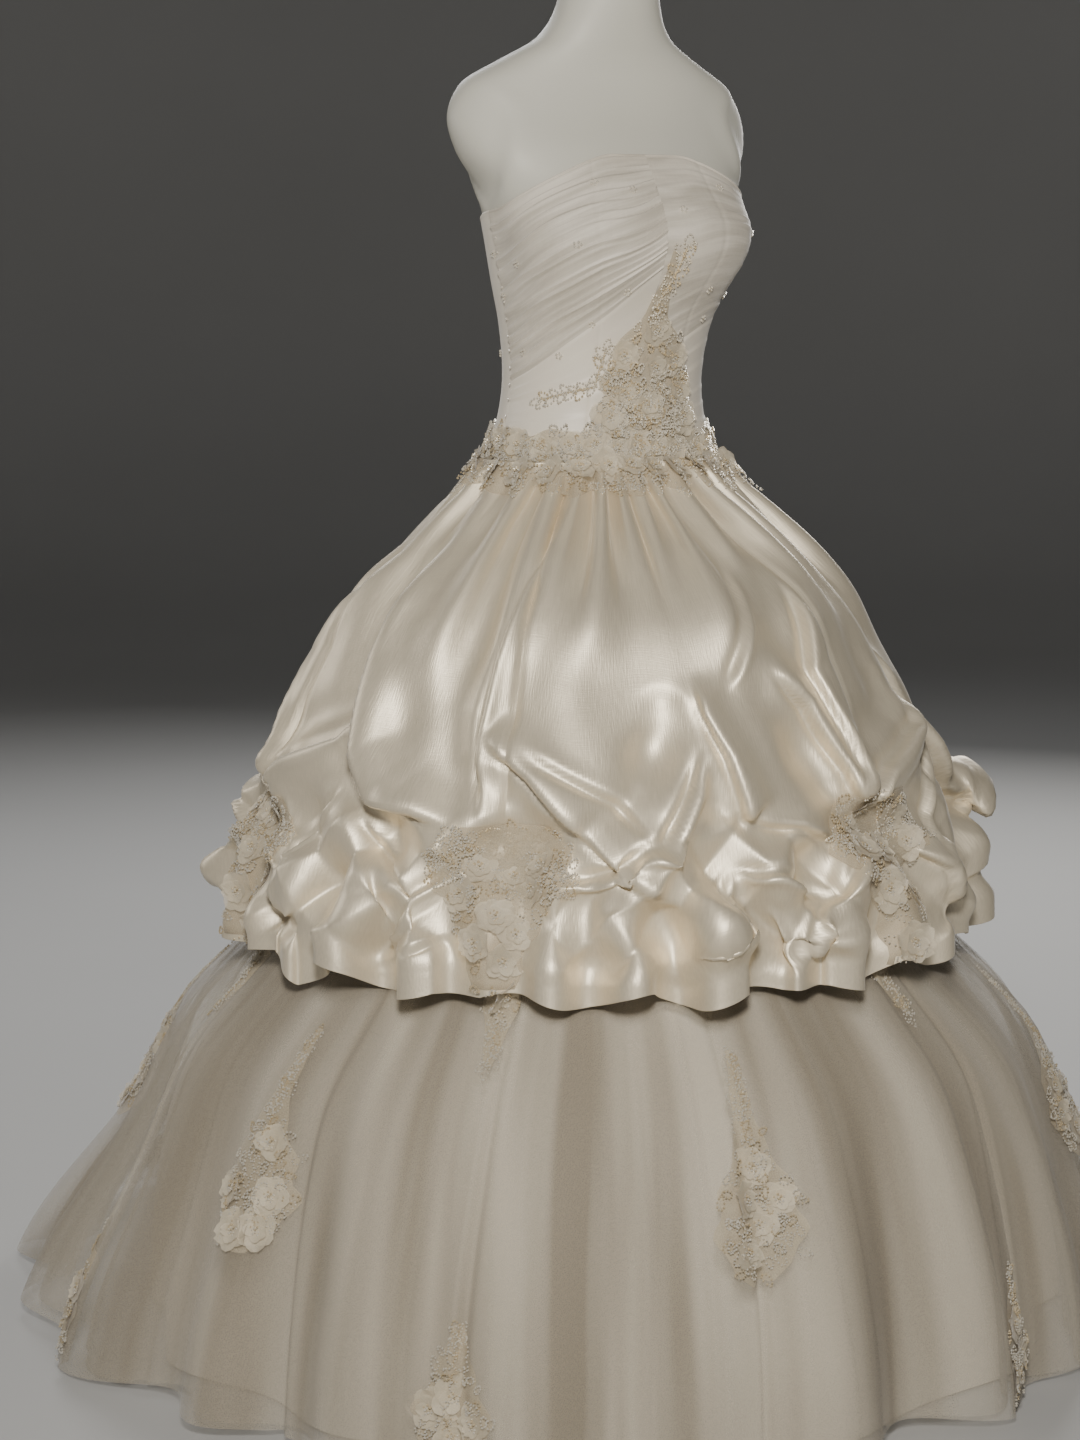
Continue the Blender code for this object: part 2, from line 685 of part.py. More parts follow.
def make_applique(name, middle, foot, outline, point, cloth, material):
    """A floral patch with a given outline over point(azimuth, height)."""

    def surface(u, rise):
        height = foot + rise
        radius = point(middle, height).xy.length
        turn = math.degrees((2 * u - 1) * curve(outline, 1, rise) / radius)
        return point(middle + turn, height)

    def petals(u, rise):
        return APPLIQUE_PETALS * blossom(60 * u, rise, 24.0)

    us, rises = steps(0, 1, 3), [rise for rise, _ in outline]
    seated_panel(name, surface, us, rises, APPLIQUE_DEPTH, material, petals, cloth)


def cover_point(azimuth, height):
    """Over the satin's outline above its hem, and over the net skirt's below it."""
    satin = skirt_radius(SATIN_OUTLINE, azimuth, height)
    net = net_point(azimuth, height).xy.length
    over = ramp(height, SATIN_HEM_HEIGHT - 0.04, SATIN_HEM_HEIGHT)
    return place(azimuth, net + (satin - net) * over, height)


def make_appliques(material, cloth):
    """One at each pick-up, one half way down the net skirt between them, and one low on it below each."""
    following = [azimuth for _, azimuth, _, _, _ in PICKUPS[1:]] + [PICKUPS[0][1] + 360.0]
    for (name, azimuth, height, _, _), after in zip(PICKUPS, following):
        between = (azimuth + after) / 2
        foot = height - PICKUP_APPLIQUE_DROP
        make_applique(f"applique_pickup_{name}", azimuth, foot, PICKUP_APPLIQUE, cover_point, cloth, material)
        middle_name, low_name = f"applique_middle_{name}", f"applique_low_{name}"
        make_applique(middle_name, between, MIDDLE_APPLIQUE_FOOT, MIDDLE_APPLIQUE, net_point, cloth, material)
        make_applique(low_name, azimuth, LOW_APPLIQUE_FOOT, LOW_APPLIQUE, net_point, cloth, material)


def make_skirt(name, point, hem, seams, columns, vs, wall, material):
    """A skirt of panels between upright seams, from the hem to the waist seam."""
    top, pieces = WAIST_SEAM_HEIGHT - SEAM_GAP, []
    for (panel_name, left), (_, right) in zip(seams, seams[1:]):

        def surface(u, v):
            azimuth = left + u * (right - left)
            low = hem(azimuth)
            return point(azimuth, low + v * (top - low))

        us = steps(0, 1, columns)
        pieces.append(panel(f"{name}_{panel_name}", surface, us, vs, wall, material, lift=-wall))
    return pieces


def main():
    clear_scene()
    satin = finish("ivory_satin", (0.80, 0.74, 0.63), 0.32, sheen=0.2)
    bodice_satin = finish("bodice_satin", (0.78, 0.73, 0.64), 0.45, sheen=0.2)
    organza = finish("organza", (0.74, 0.70, 0.62), 0.55, sheen=0.2)
    net = finish("net", (0.70, 0.65, 0.56), 0.8)
    lining = finish("lining", (0.80, 0.76, 0.66), 0.5)
    lace = finish("beaded_lace", (0.78, 0.70, 0.55), 0.5)
    shell = finish("form_shell", (0.85, 0.86, 0.85), 0.45)
    metal = finish("form_stand", (0.82, 0.82, 0.82), 0.35)
    quarters = (
        ("right_back", -180.0), ("right_front", -90.0), ("left_front", 0.0), ("left_back", 90.0), ("", 180.0),
    )
    gores = [(name, azimuth) for name, azimuth, _, _, _ in PICKUPS] + [("", PICKUPS[0][1] + 360.0)]
    make_form(shell, metal)
    bodice_cloth = make_bodice(bodice_satin) + make_drapes(organza, bodice_satin)
    make_skirt("lining", lining_point, lining_hem, quarters, 12, steps(0, 1, 5), LINING_WALL, lining)
    net_panels = make_skirt("net_skirt", net_point, net_hem, quarters, 18, steps(0, 1, 7), NET_WALL, net)
    satin_gores = make_skirt("satin_gore", satin_point, satin_hem, gores, 16, SATIN_ROWS, SATIN_WALL, satin)
    garland = make_garland(lace, bodice_cloth + satin_gores)
    make_spike(lace, bodice_cloth + garland)
    make_appliques(lace, satin_gores + net_panels)


main()
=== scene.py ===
"""Looks of a strapless ball gown with a pick-up overskirt, on its limbless dress form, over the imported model.

Metres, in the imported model's frame: +Z up, the floor at z = 0, and the gown faces -Y. Azimuths are degrees
round the gown from the centre front, positive towards the wearer's left, which is +X.
"""

import math

import bmesh
import bpy
import numpy as np
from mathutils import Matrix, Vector
from mathutils.bvhtree import BVHTree


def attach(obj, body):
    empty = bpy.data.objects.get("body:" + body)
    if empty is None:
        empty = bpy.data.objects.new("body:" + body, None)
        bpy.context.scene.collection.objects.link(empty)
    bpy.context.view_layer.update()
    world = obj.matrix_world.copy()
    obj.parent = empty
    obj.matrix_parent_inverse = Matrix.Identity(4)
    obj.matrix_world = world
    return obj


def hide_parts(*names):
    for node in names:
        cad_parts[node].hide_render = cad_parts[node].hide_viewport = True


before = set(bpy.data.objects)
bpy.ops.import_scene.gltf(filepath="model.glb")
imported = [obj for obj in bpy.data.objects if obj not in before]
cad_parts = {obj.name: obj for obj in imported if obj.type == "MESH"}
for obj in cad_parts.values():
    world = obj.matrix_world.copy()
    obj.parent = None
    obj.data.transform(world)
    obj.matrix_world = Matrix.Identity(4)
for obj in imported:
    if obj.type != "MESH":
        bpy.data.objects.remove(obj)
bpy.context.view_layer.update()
scene = bpy.context.scene


# Camera
# It looks at the gown from the wearer's right and a little from above.
CAMERA_TURN = 28.0
CAMERA_DISTANCE = 3.12
CAMERA_HEIGHT = 1.137
CAMERA_TILT = 9.0
LENS_MM = 72.5
SENSOR_MM = 36.0
SIDE_SHIFT = -0.0417


def in_scene(name, data):
    """A new object of the scene that shows this camera, lamp or mesh."""
    thing = bpy.data.objects.new(name, data)
    scene.collection.objects.link(thing)
    return thing


turn = math.radians(CAMERA_TURN)
camera = in_scene("camera", bpy.data.cameras.new("camera"))
camera.data.lens = LENS_MM
camera.data.sensor_width = SENSOR_MM
camera.data.shift_x = SIDE_SHIFT
camera.location = (-math.sin(turn) * CAMERA_DISTANCE, -math.cos(turn) * CAMERA_DISTANCE, CAMERA_HEIGHT)
camera.rotation_euler = (math.radians(90.0 - CAMERA_TILT), 0.0, -turn)
scene.camera = camera


# Studio light
# A lamp a little above the camera, three larger and weaker ones round the back, and a faint even light from
# all round.
LAMP_AIM = Vector((0.0, 0.0, 0.75))
LAMPS = (
    # name, place, size, watts, colour
    ("key_lamp", (-1.5, -2.8, 2.05), 0.45, 112.0, (1.0, 0.965, 0.91)),
    ("right_lamp", (-2.3, 2.4, 1.8), 1.2, 20.0, (1.0, 0.97, 0.93)),
    ("left_lamp", (2.3, 2.2, 1.8), 1.2, 45.0, (1.0, 0.98, 0.95)),
    ("rim_lamp", (0.4, 3.0, 2.5), 1.2, 32.0, (0.97, 0.98, 1.0)),
)
ROUND_LIGHT = (0.86, 0.88, 0.90, 1.0)
ROUND_LIGHT_STRENGTH = 0.05

for name, place_of_lamp, size, watts, colour in LAMPS:
    lamp = bpy.data.lights.new(name, "AREA")
    lamp.shape = "DISK"
    lamp.size = size
    lamp.energy = watts
    lamp.color = colour
    stand = in_scene(name, lamp)
    stand.location = place_of_lamp
    stand.rotation_euler = (LAMP_AIM - Vector(place_of_lamp)).to_track_quat("-Z", "Y").to_euler()
world = bpy.data.worlds.new("studio")
world.use_nodes = True
world.node_tree.nodes["Background"].inputs["Color"].default_value = ROUND_LIGHT
world.node_tree.nodes["Background"].inputs["Strength"].default_value = ROUND_LIGHT_STRENGTH
scene.world = world


# Floor
# A plain pale studio floor, painted and rolled smooth, that sweeps up into a wall far from the gown.
FLOOR_RINGS = ((0.01, 0.0), (5.0, 0.0), (6.2, 0.06), (7.1, 0.35), (7.8, 0.95), (8.1, 1.9), (8.2, 4.5))
FLOOR_SIDES = 96
FLOOR_COLOURS = ((0.44, 0.44, 0.435), (0.48, 0.48, 0.475))


class Wire:
    """An output of a shader node. Sums and products add Math nodes, and add() adds any other node."""

    def __init__(self, socket):
        self.socket = socket

    def add(self, kind, settings=None, inputs=None, output=0):
        """A node of this kind in the same material, with its settings made before its sockets are filled."""
        tree = self.socket.id_data
        node = tree.nodes.new(kind)
        for name, value in (settings or {}).items():
            if name == "stops":
                for element, (position, colour) in zip(node.color_ramp.elements, value):
                    element.position = position
                    element.color = colour
            else:
                setattr(node, name, value)
        for name, value in (inputs or {}).items():
            if isinstance(value, Wire):
                tree.links.new(value.socket, node.inputs[name])
            else:
                node.inputs[name].default_value = value
        return Wire(node.outputs[output])

    def maths(self, operation, first, second):
        return self.add("ShaderNodeMath", {"operation": operation}, {0: first, 1: second})

    def __add__(self, other):
        return self.maths("ADD", self, other)

    __radd__ = __add__

    def __mul__(self, other):
        return self.maths("MULTIPLY", self, other)

    __rmul__ = __mul__

    def between(self, first, second):
        """A colour from first, where this wire is 0, to second, where it is 1."""
        return self.add("ShaderNodeMix", {"data_type": "RGBA"}, {0: self, 6: (*first, 1), 7: (*second, 1)}, 2)

    def contrasted(self, dark, light):
        """The same grey, with all under dark made black and all over light made white."""
        stops = (dark, (0, 0, 0, 1)), (light, (1, 1, 1, 1))
        return self.add("ShaderNodeValToRGB", {"stops": stops}, {"Fac": self})

    def stretched(self, scale):
        """This place in metres, many times finer, by a scale for each of its three directions."""
        return self.add("ShaderNodeVectorMath", {"operation": "MULTIPLY"}, {0: self, 1: scale})

    def noise(self, scale=1.0, detail=3.0):
        """Soft uneven grey from 0 to 1 at this place."""
        return self.add("ShaderNodeTexNoise", None, {"Vector": self, "Scale": scale, "Detail": detail})

    def raised(self, strength, depth):
        """A surface that stands up where this wire is 1."""
        return self.add("ShaderNodeBump", None, {"Height": self, "Strength": strength, "Distance": depth})


def new_finish(name, **constants):
    """A material with constants on its shader, and the place in metres that its colours come from."""
    material = bpy.data.materials.new(name)
    material.use_nodes = True
    shader = material.node_tree.nodes["Principled BSDF"]
    for socket, value in constants.items():
        shader.inputs[socket.replace("_", " ")].default_value = value
    spot = material.node_tree.nodes.new("ShaderNodeTexCoord")
    return material, shader, Wire(spot.outputs["Object"])


def feed(shader, **wires):
    """Links wires to the shader's sockets."""
    for socket, wire in wires.items():
        wire.socket.id_data.links.new(wire.socket, shader.inputs[socket.replace("_", " ")])


def grid_faces(grid):
    """The four-cornered faces of a grid of points or of their numbers, each face with its corners' rows."""
    return np.stack([grid[:-1, :-1], grid[:-1, 1:], grid[1:, 1:], grid[1:, :-1]], 2)


def cloth(name, points, material, around=False, closed=0, cut=None):
    """A smooth piece through a grid of points, its rows from the bottom up, facing away from the middle.

    around joins the last column to the first. closed is how many of the piece's ends have a face, the bottom
    one first. cut is the size in metres of the flat cloth, for its weave.
    """
    rows, columns = points.shape[:2]
    index = np.arange(rows * columns).reshape(rows, columns)
    ends = [index[0, ::-1].tolist(), index[-1].tolist()][:closed]
    if around:
        index = np.concatenate([index, index[:, :1]], axis=1)
    mesh = bpy.data.meshes.new(name)
    mesh.from_pydata(points.reshape(-1, 3).tolist(), [], grid_faces(index).reshape(-1, 4).tolist() + ends)
    mesh.materials.append(material)
    if cut:
        flat = np.meshgrid(np.linspace(0.0, cut[0], index.shape[1]), np.linspace(0.0, cut[1], rows))
        mesh.uv_layers.new(name="cut").uv.foreach_set("vector", grid_faces(np.stack(flat, -1)).reshape(-1))
    mesh.shade_smooth()
    return in_scene(name, mesh)


floor_paint, shader, spot = new_finish("floor_paint", Roughness=0.65)
feed(shader, Base_Color=spot.noise(1.3).between(*FLOOR_COLOURS), Normal=spot.noise(220.0).raised(0.1, 0.001))
angles = np.linspace(0.0, 2 * np.pi, FLOOR_SIDES + 1)[:-1]
radius, height = np.array(FLOOR_RINGS).T[:, :, None]
rings = np.stack(np.broadcast_arrays(radius * np.cos(angles), radius * np.sin(angles), height), -1)
floor = cloth("floor", rings, floor_paint, around=True, closed=1)


# Torso of the dress form
# A smooth shell of matte white plastic from the hips to the neck. It has no arms: each side is cut flat
# there, with a soft edge round the cut.
FORM_SECTIONS = (
    # height, how far back its middle lies, half width, depth in front, depth behind
    (0.790, 0.000, 0.128, 0.088, 0.096),
    (0.830, 0.000, 0.143, 0.098, 0.108),
    (0.880, 0.000, 0.138, 0.097, 0.104),
    (0.930, 0.000, 0.122, 0.092, 0.093),
    (0.980, 0.000, 0.108, 0.086, 0.084),
    (1.020, -0.002, 0.105, 0.085, 0.081),
    (1.070, -0.006, 0.111, 0.091, 0.082),
    (1.120, -0.011, 0.123, 0.100, 0.086),
    (1.170, -0.013, 0.133, 0.104, 0.089),
    (1.210, -0.010, 0.142, 0.098, 0.087),
    (1.250, -0.001, 0.166, 0.086, 0.079),
    (1.288, 0.008, 0.172, 0.071, 0.070),
    (1.320, 0.009, 0.154, 0.060, 0.060),
    (1.344, 0.002, 0.112, 0.054, 0.055),
    (1.366, -0.008, 0.074, 0.050, 0.052),
    (1.400, -0.018, 0.054, 0.048, 0.050),
    (1.450, -0.024, 0.050, 0.047, 0.048),
    (1.476, -0.026, 0.049, 0.046, 0.047),
)
SQUARENESS = 2.25
# Turns from the centre front where the bust starts to fall away and where it has ended
BUST_FULL = 44.0
BUST_END = 84.0
BUST_HEIGHT = 1.158
BUST_SPREAD = 0.052
BUST_DEPTH = 0.030
# Share by which the bust is flatter at the centre front, and over what turn
BUST_DIP = (0.14, 15.0)
FORM_GRID = (160, 120)
FORM_HEIGHTS = (0.790, 1.470)
# The cut where an arm would be: height, turn of its edge; heights where it starts, is full, calms and ends
ARM_CUT = ((1.190, 84.0), (1.215, 72.0), (1.250, 65.0), (1.290, 66.0), (1.318, 78.0))
ARM_CUT_ENDS = (1.180, 1.215, 1.305, 1.335)
# Height of the cut's soft edge, and its half width in degrees
ARM_EDGE = (0.0028, 4.5)
SHARP_TURN = 50.0
# Rows round the top edge of the neck: how far in, height
NECK_ROUNDING = ((0.0000, 1.4720), (0.0008, 1.4744), (0.0028, 1.4757), (0.0055, 1.4760))
SHELL_COLOURS = ((0.55, 0.535, 0.465), (0.60, 0.585, 0.51))


def curve(table, column, at):
    """A smooth read of one column of a table whose first column rises."""
    table = np.asarray(table, float)
    xs, ys = table[:, 0], table[:, column]
    slopes = np.empty(len(xs))
    slopes[1:-1] = (ys[2:] - ys[:-2]) / (xs[2:] - xs[:-2])
    slopes[0] = (ys[1] - ys[0]) / (xs[1] - xs[0])
    slopes[-1] = (ys[-1] - ys[-2]) / (xs[-1] - xs[-2])
    at = np.clip(at, xs[0], xs[-1])
    low = np.clip(np.searchsorted(xs, at, side="right") - 1, 0, len(xs) - 2)
    span = xs[low + 1] - xs[low]
    t = (at - xs[low]) / span
    ease = t * t * (3 - 2 * t)
    bend = t * (1 - t) ** 2 * slopes[low] - t * t * (1 - t) * slopes[low + 1]
    return ys[low] * (1 - ease) + ys[low + 1] * ease + span * bend


def ramp(value, start, end):
    """0 before start, 1 after end, and a soft step between; start may be above end."""
    t = np.clip((value - start) / (end - start), 0.0, 1.0)
    return t * t * (3 - 2 * t)


def bump(distance, spread):
    return np.exp(-((distance / spread) ** 2))


def turn_between(azimuth, other):
    """The turn from other to azimuth, from -180 to 180 degrees."""
    return (azimuth - other + 180.0) % 360.0 - 180.0


def place(azimuth, radius, height, middle=0.0):
    angle = np.radians(azimuth)
    return np.stack(np.broadcast_arrays(radius * np.sin(angle), middle - radius * np.cos(angle), height), -1)


def superellipse(angle, half_width, depth):
    across = np.abs(np.sin(angle) / half_width) ** SQUARENESS
    along = np.abs(np.cos(angle) / depth) ** SQUARENESS
    return (across + along) ** (-1 / SQUARENESS)


def form_radius(azimuth, height):
    """Distance of the form's skin from its middle line."""
    half_width, front, back = (curve(FORM_SECTIONS, column, height) for column in (2, 3, 4))
    angle = np.radians(azimuth)
    radius = superellipse(angle, half_width, np.where(np.cos(angle) > 0, front, back))
    turn = np.abs(turn_between(azimuth, 0.0))
    share, spread = BUST_DIP
    bust = ramp(turn, BUST_END, BUST_FULL) * (1 - share * bump(turn, spread))
    return radius + BUST_DEPTH * bust * bump(height - BUST_HEIGHT, BUST_SPREAD)


def form_point(azimuth, height):
    """The skin of the dress form, a rounded section with a bust that stands out in front."""
    return place(azimuth, form_radius(azimuth, height), height, curve(FORM_SECTIONS, 1, height))


def fit(piece, slot, *nodes):
    """The piece is fixed to the form and stands for these solids; its slot is not used."""
    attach(piece, "root")
    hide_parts(*nodes)
    return piece


shell_white, shader, spot = new_finish("shell_white", Roughness=0.52, Specular_IOR_Level=0.35)
mottle = spot.noise(9.0, 4.0)
feed(shader, Base_Color=mottle.between(*SHELL_COLOURS), Roughness=mottle * 0.12 + 0.46)
feed(shader, Normal=spot.noise(420.0, 2.0).raised(0.12, 0.0006))
columns, rows = FORM_GRID
azimuths, heights = np.meshgrid(np.linspace(-180, 180, columns + 1)[:-1], np.linspace(*FORM_HEIGHTS, rows))
skin = form_point(azimuths, heights)
away = np.abs(turn_between(azimuths, 0.0))
edge = np.minimum(away, 180.0 - away) - curve(ARM_CUT, 1, heights)
low, full, calm, top = ARM_CUT_ENDS
depth, spread = ARM_EDGE
ridge = bump(edge, spread) - 0.9 * ramp(edge, 0.0, 2 * spread)
ridge *= depth * ramp(heights, low, full) * ramp(heights, top, calm)
skin += place(azimuths, ridge, 0.0)
neck = []
for inwards, height in NECK_ROUNDING:
    middle = curve(FORM_SECTIONS, 1, height)
    neck.append(place(azimuths[0], form_radius(azimuths[0], height) - inwards, height, middle))
skin = np.concatenate([skin, np.stack(neck)])
torso = cloth("dress_form", skin, shell_white, around=True, closed=2)
torso.data.set_sharp_from_angle(angle=math.radians(SHARP_TURN))
fit(torso, "form_shell", "form_torso")


# Pole and base
# A steel tube screwed to a round steel plate, both sprayed white. The skirt hides them from most sides.
STAND_COLOURS = ((0.74, 0.74, 0.73), (0.80, 0.80, 0.79))

stand_paint, shader, spot = new_finish("stand_paint", Roughness=0.38)
feed(shader, Base_Color=spot.noise(14.0).between(*STAND_COLOURS))
feed(shader, Normal=spot.noise(900.0, 1.0).raised(0.15, 0.0004))
for name in ("form_pole", "form_base"):
    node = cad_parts[name]
    if not node.material_slots:
        node.data.materials.append(stand_paint)
    for holder in node.material_slots:
        holder.material = stand_paint


# Bodice
# Five panels of ivory satin, sewn edge to edge at the princess and side seams and closed at the centre back.
# The neckline is turned over a cord.
WAIST_SEAM = 0.930
NECKLINE_FRONT = 1.240
NECKLINE_SIDE = 1.187
NECKLINE_BACK = 1.150
# Turns where the front's level edge ends and the side's height is reached, and the same for the back
NECKLINE_TURNS = (22.0, 86.0, 84.0, 150.0)
BODICE_LIFT = 0.0025
BODICE_SEAMS = (
    # height, azimuth of the princess seam, azimuth of the side seam
    (0.930, 37.0, 88.0),
    (0.990, 35.0, 88.0),
    (1.070, 30.0, 87.0),
    (1.150, 30.0, 85.0),
    (1.240, 35.0, 82.0),
)
BODICE_GRID = (49, 61)
BODICE_PANELS = (
    # name, its two upright edges as a seam's number or an azimuth, flat size
    ("bodice_back_right", -180.0, -2, (0.178, 0.255)),
    ("bodice_side_front_right", -2, -1, (0.115, 0.290)),
    ("bodice_centre_front", -1, 1, (0.170, 0.315)),
    ("bodice_side_front_left", 1, 2, (0.115, 0.290)),
    ("bodice_back_left", 2, 180.0, (0.178, 0.255)),
)
SEAM_DIP = 0.0009
SEAM_HALF = 0.0045
# Rows of the rolled edge: how far out, how far up
NECK_ROLL = ((0.0004, 0.0004), (0.0006, 0.0016), (0.0000, 0.0024), (-0.0012, 0.0022), (-0.0022, 0.0012))
BODICE_COLOURS = ((0.70, 0.64, 0.54), (0.77, 0.71, 0.60))


def neckline(azimuth):
    """Height of the bodice's top edge: nearly level in front, lower at the sides and the back."""
    turn = np.abs(turn_between(azimuth, 0.0))
    level, side, past_side, back = NECKLINE_TURNS
    height = NECKLINE_FRONT + (NECKLINE_SIDE - NECKLINE_FRONT) * ramp(turn, level, side)
    return height + (NECKLINE_BACK - NECKLINE_SIDE) * ramp(turn, past_side, back)


def seam_azimuth(seam, height):
    """Azimuth of a bodice seam: 1 and 2 are the princess and side seams, negative on the wearer's right."""
    if abs(seam) > 2:
        return np.full_like(height, seam)
    return np.sign(seam) * curve(BODICE_SEAMS, abs(seam), height)


def lifted(points, lift):
    """A grid of points moved out along the surface's own normals, by one lift or by a grid of them."""
    along = np.gradient(points, axis=1)
    up = np.gradient(points, axis=0)
    normals = np.cross(along, up)
    normals /= np.maximum(np.linalg.norm(normals, axis=-1, keepdims=True), 1e-12)
    return points + normals * np.broadcast_to(lift, points.shape[:2])[..., None]


def outwards(points):
    """The level directions from the gown's middle line to these points."""
    level = points * (1, 1, 0)
    return level / np.linalg.norm(level, axis=-1, keepdims=True)


def grid_shares(columns, rows):
    """How far each point of a grid is across it, and how far up it."""
    return np.meshgrid(np.linspace(0.0, 1.0, columns), np.linspace(0.0, 1.0, rows))


def on_body(azimuths, heights, lift):
    """Points on the bodice's curve, lifted off the dress form."""
    return lifted(form_point(azimuths, heights), lift)


def rolled_edge(points, roll):
    """The grid with a small rolled edge over its top row: how far each new row stands out, and up."""
    top = points[-1:]
    return np.concatenate([points] + [top + outwards(top) * out + (0, 0, up) for out, up in roll])


def flat_cloth(material):
    """The place in metres on a piece's cloth before it was sewn."""
    cut = material.node_tree.nodes.new("ShaderNodeUVMap")
    cut.uv_map = "cut"
    return Wire(cut.outputs["UV"])


def weave(material, across, along, strength):
    """Height of a fine uneven weave on the flat cloth, with so many threads a metre each way."""
    flat = flat_cloth(material)
    threads = flat.stretched((across, along * 0.06, 1.0)).noise(1.0, 2.0)
    slubs = flat.stretched((across * 0.05, along, 1.0)).noise(1.0, 2.0)
    return threads * strength + slubs * (1 - strength)


bodice_satin, shader, spot = new_finish(
    "bodice_satin", Roughness=0.45, Sheen_Weight=0.25, Sheen_Roughness=0.4
)
threads = weave(bodice_satin, 900.0, 900.0, 0.6)
feed(shader, Base_Color=spot.noise(24.0).between(*BODICE_COLOURS), Normal=threads.raised(0.20, 0.0005))
bodice_pieces = []
shares, up = grid_shares(*BODICE_GRID)
straight = WAIST_SEAM + up * (NECKLINE_FRONT - WAIST_SEAM)
for name, edge, other_edge, cut in BODICE_PANELS:
    azimuths = seam_azimuth(edge, straight) * (1 - shares) + seam_azimuth(other_edge, straight) * shares
    heights = WAIST_SEAM + up * (neckline(azimuths) - WAIST_SEAM)
    to_seam = np.minimum(shares, 1 - shares) * cut[0]
    panel = on_body(azimuths, heights, BODICE_LIFT - SEAM_DIP * bump(to_seam, SEAM_HALF))
    piece = cloth(name + "_cloth", rolled_edge(panel, NECK_ROLL), bodice_satin, cut=cut)
    fit(piece, "bodice_satin", name)
    bodice_pieces.append(piece)


# Bust drapes and midriff
# Sheer organza laid over each cup in uneven soft pleats, which run down to the side seams, and below it level
# pleats of satin. Each pleat is a fold of cloth, laid upwards and caught down at the side seams.
DRAPE_EDGES = (
    # turn from the centre front, height where the bust drape ends on the wearer's right, and on the left
    (0.0, 1.130, 1.030),
    (10.0, 1.112, 1.036),
    (25.0, 1.086, 1.053),
    (48.0, 1.054, 1.074),
    (70.0, 1.026, 1.084),
    (87.0, 1.012, 1.088),
)
DRAPE_SIDE = 87.0
DRAPE_LIFT = 0.0044
DRAPE_COLUMNS = 81
ROWS_A_PLEAT = 12
MIDRIFF_FOOT = 0.955
PLEAT_SHARP = 0.82
PRINCESS_DIP = 0.0006
PRINCESS_HALF = 1.0
DRAPES = (
    # name, side, seed, pleats, depth, bending of the pleats, flat size
    ("bust_drape_right", -1, 3, 17, 0.0026, 0.030, (0.235, 0.175)),
    ("bust_drape_left", 1, 8, 12, 0.0011, 0.022, (0.235, 0.180)),
    ("midriff_right", -1, 5, 6, 0.0010, 0.012, (0.200, 0.095)),
    ("midriff_left", 1, 6, 6, 0.0009, 0.012, (0.190, 0.095)),
)
ORGANZA_COLOURS = ((0.50, 0.455, 0.375), (0.70, 0.645, 0.55))


def pleats(shares, up, seed, count, depth, bending):
    """Height of uneven overlapping pleats: each rises softly across its width and then falls off sharply."""
    dice = np.random.default_rng(seed)
    edges = np.cumsum(0.55 + dice.random(count + 2))
    edges = (edges - edges[0]) / (edges[-2] - edges[0])
    wander = bending * np.sin(5.1 * shares + seed) + 0.4 * bending * np.sin(13.0 * shares + 2 * seed + 6 * up)
    across = np.clip(up + wander * np.sin(np.pi * up), 0.0, 0.9999)
    which = np.clip(np.searchsorted(edges, across, side="right") - 1, 0, count)
    t = (across - edges[which]) / (edges[which + 1] - edges[which])
    rise = np.where(t < PLEAT_SHARP, (t / PLEAT_SHARP) ** 1.6, (1 - t) / (1 - PLEAT_SHARP))
    phase = dice.random(count + 1)[which] * 6.28
    pace = 2.5 + 3.5 * dice.random(count + 1)[which]
    strength = 0.55 + 0.45 * np.sin(pace * shares + phase)
    return depth * rise * strength


organza, shader, spot = new_finish("organza", Roughness=0.6, Sheen_Weight=0.35, Sheen_Roughness=0.35)
threads = weave(organza, 260.0, 1500.0, 0.25)
layers = flat_cloth(organza).stretched((7.0, 85.0, 1.0)).noise(1.0, 4.0)
layers = (layers * 0.75 + threads * 0.25).contrasted(0.39, 0.60)
feed(shader, Base_Color=layers.between(*ORGANZA_COLOURS), Normal=threads.raised(0.35, 0.0006))
for name, side, seed, count, depth, bending, cut in DRAPES:
    shares, up = grid_shares(DRAPE_COLUMNS, ROWS_A_PLEAT * count + 1)
    azimuths = DRAPE_SIDE * (shares - 1) if side < 0 else DRAPE_SIDE * shares
    edge = curve(DRAPE_EDGES, 1 if side < 0 else 2, np.abs(azimuths))
    if name.startswith("bust"):
        heights = edge + up * (neckline(azimuths) - edge)
        material, slot, roll = organza, "organza", NECK_ROLL
    else:
        heights = MIDRIFF_FOOT + up * (edge - MIDRIFF_FOOT)
        material, slot, roll = bodice_satin, "bodice_satin", ()
    relief = pleats(shares, up, seed, count, depth, bending)
    relief -= PRINCESS_DIP * bump(np.abs(azimuths) - curve(BODICE_SEAMS, 1, heights), PRINCESS_HALF)
    panel = on_body(azimuths, heights, DRAPE_LIFT + relief)
    piece = cloth(name + "_cloth", rolled_edge(panel, roll), material, cut=cut)
    fit(piece, slot, name)
    bodice_pieces.append(piece)


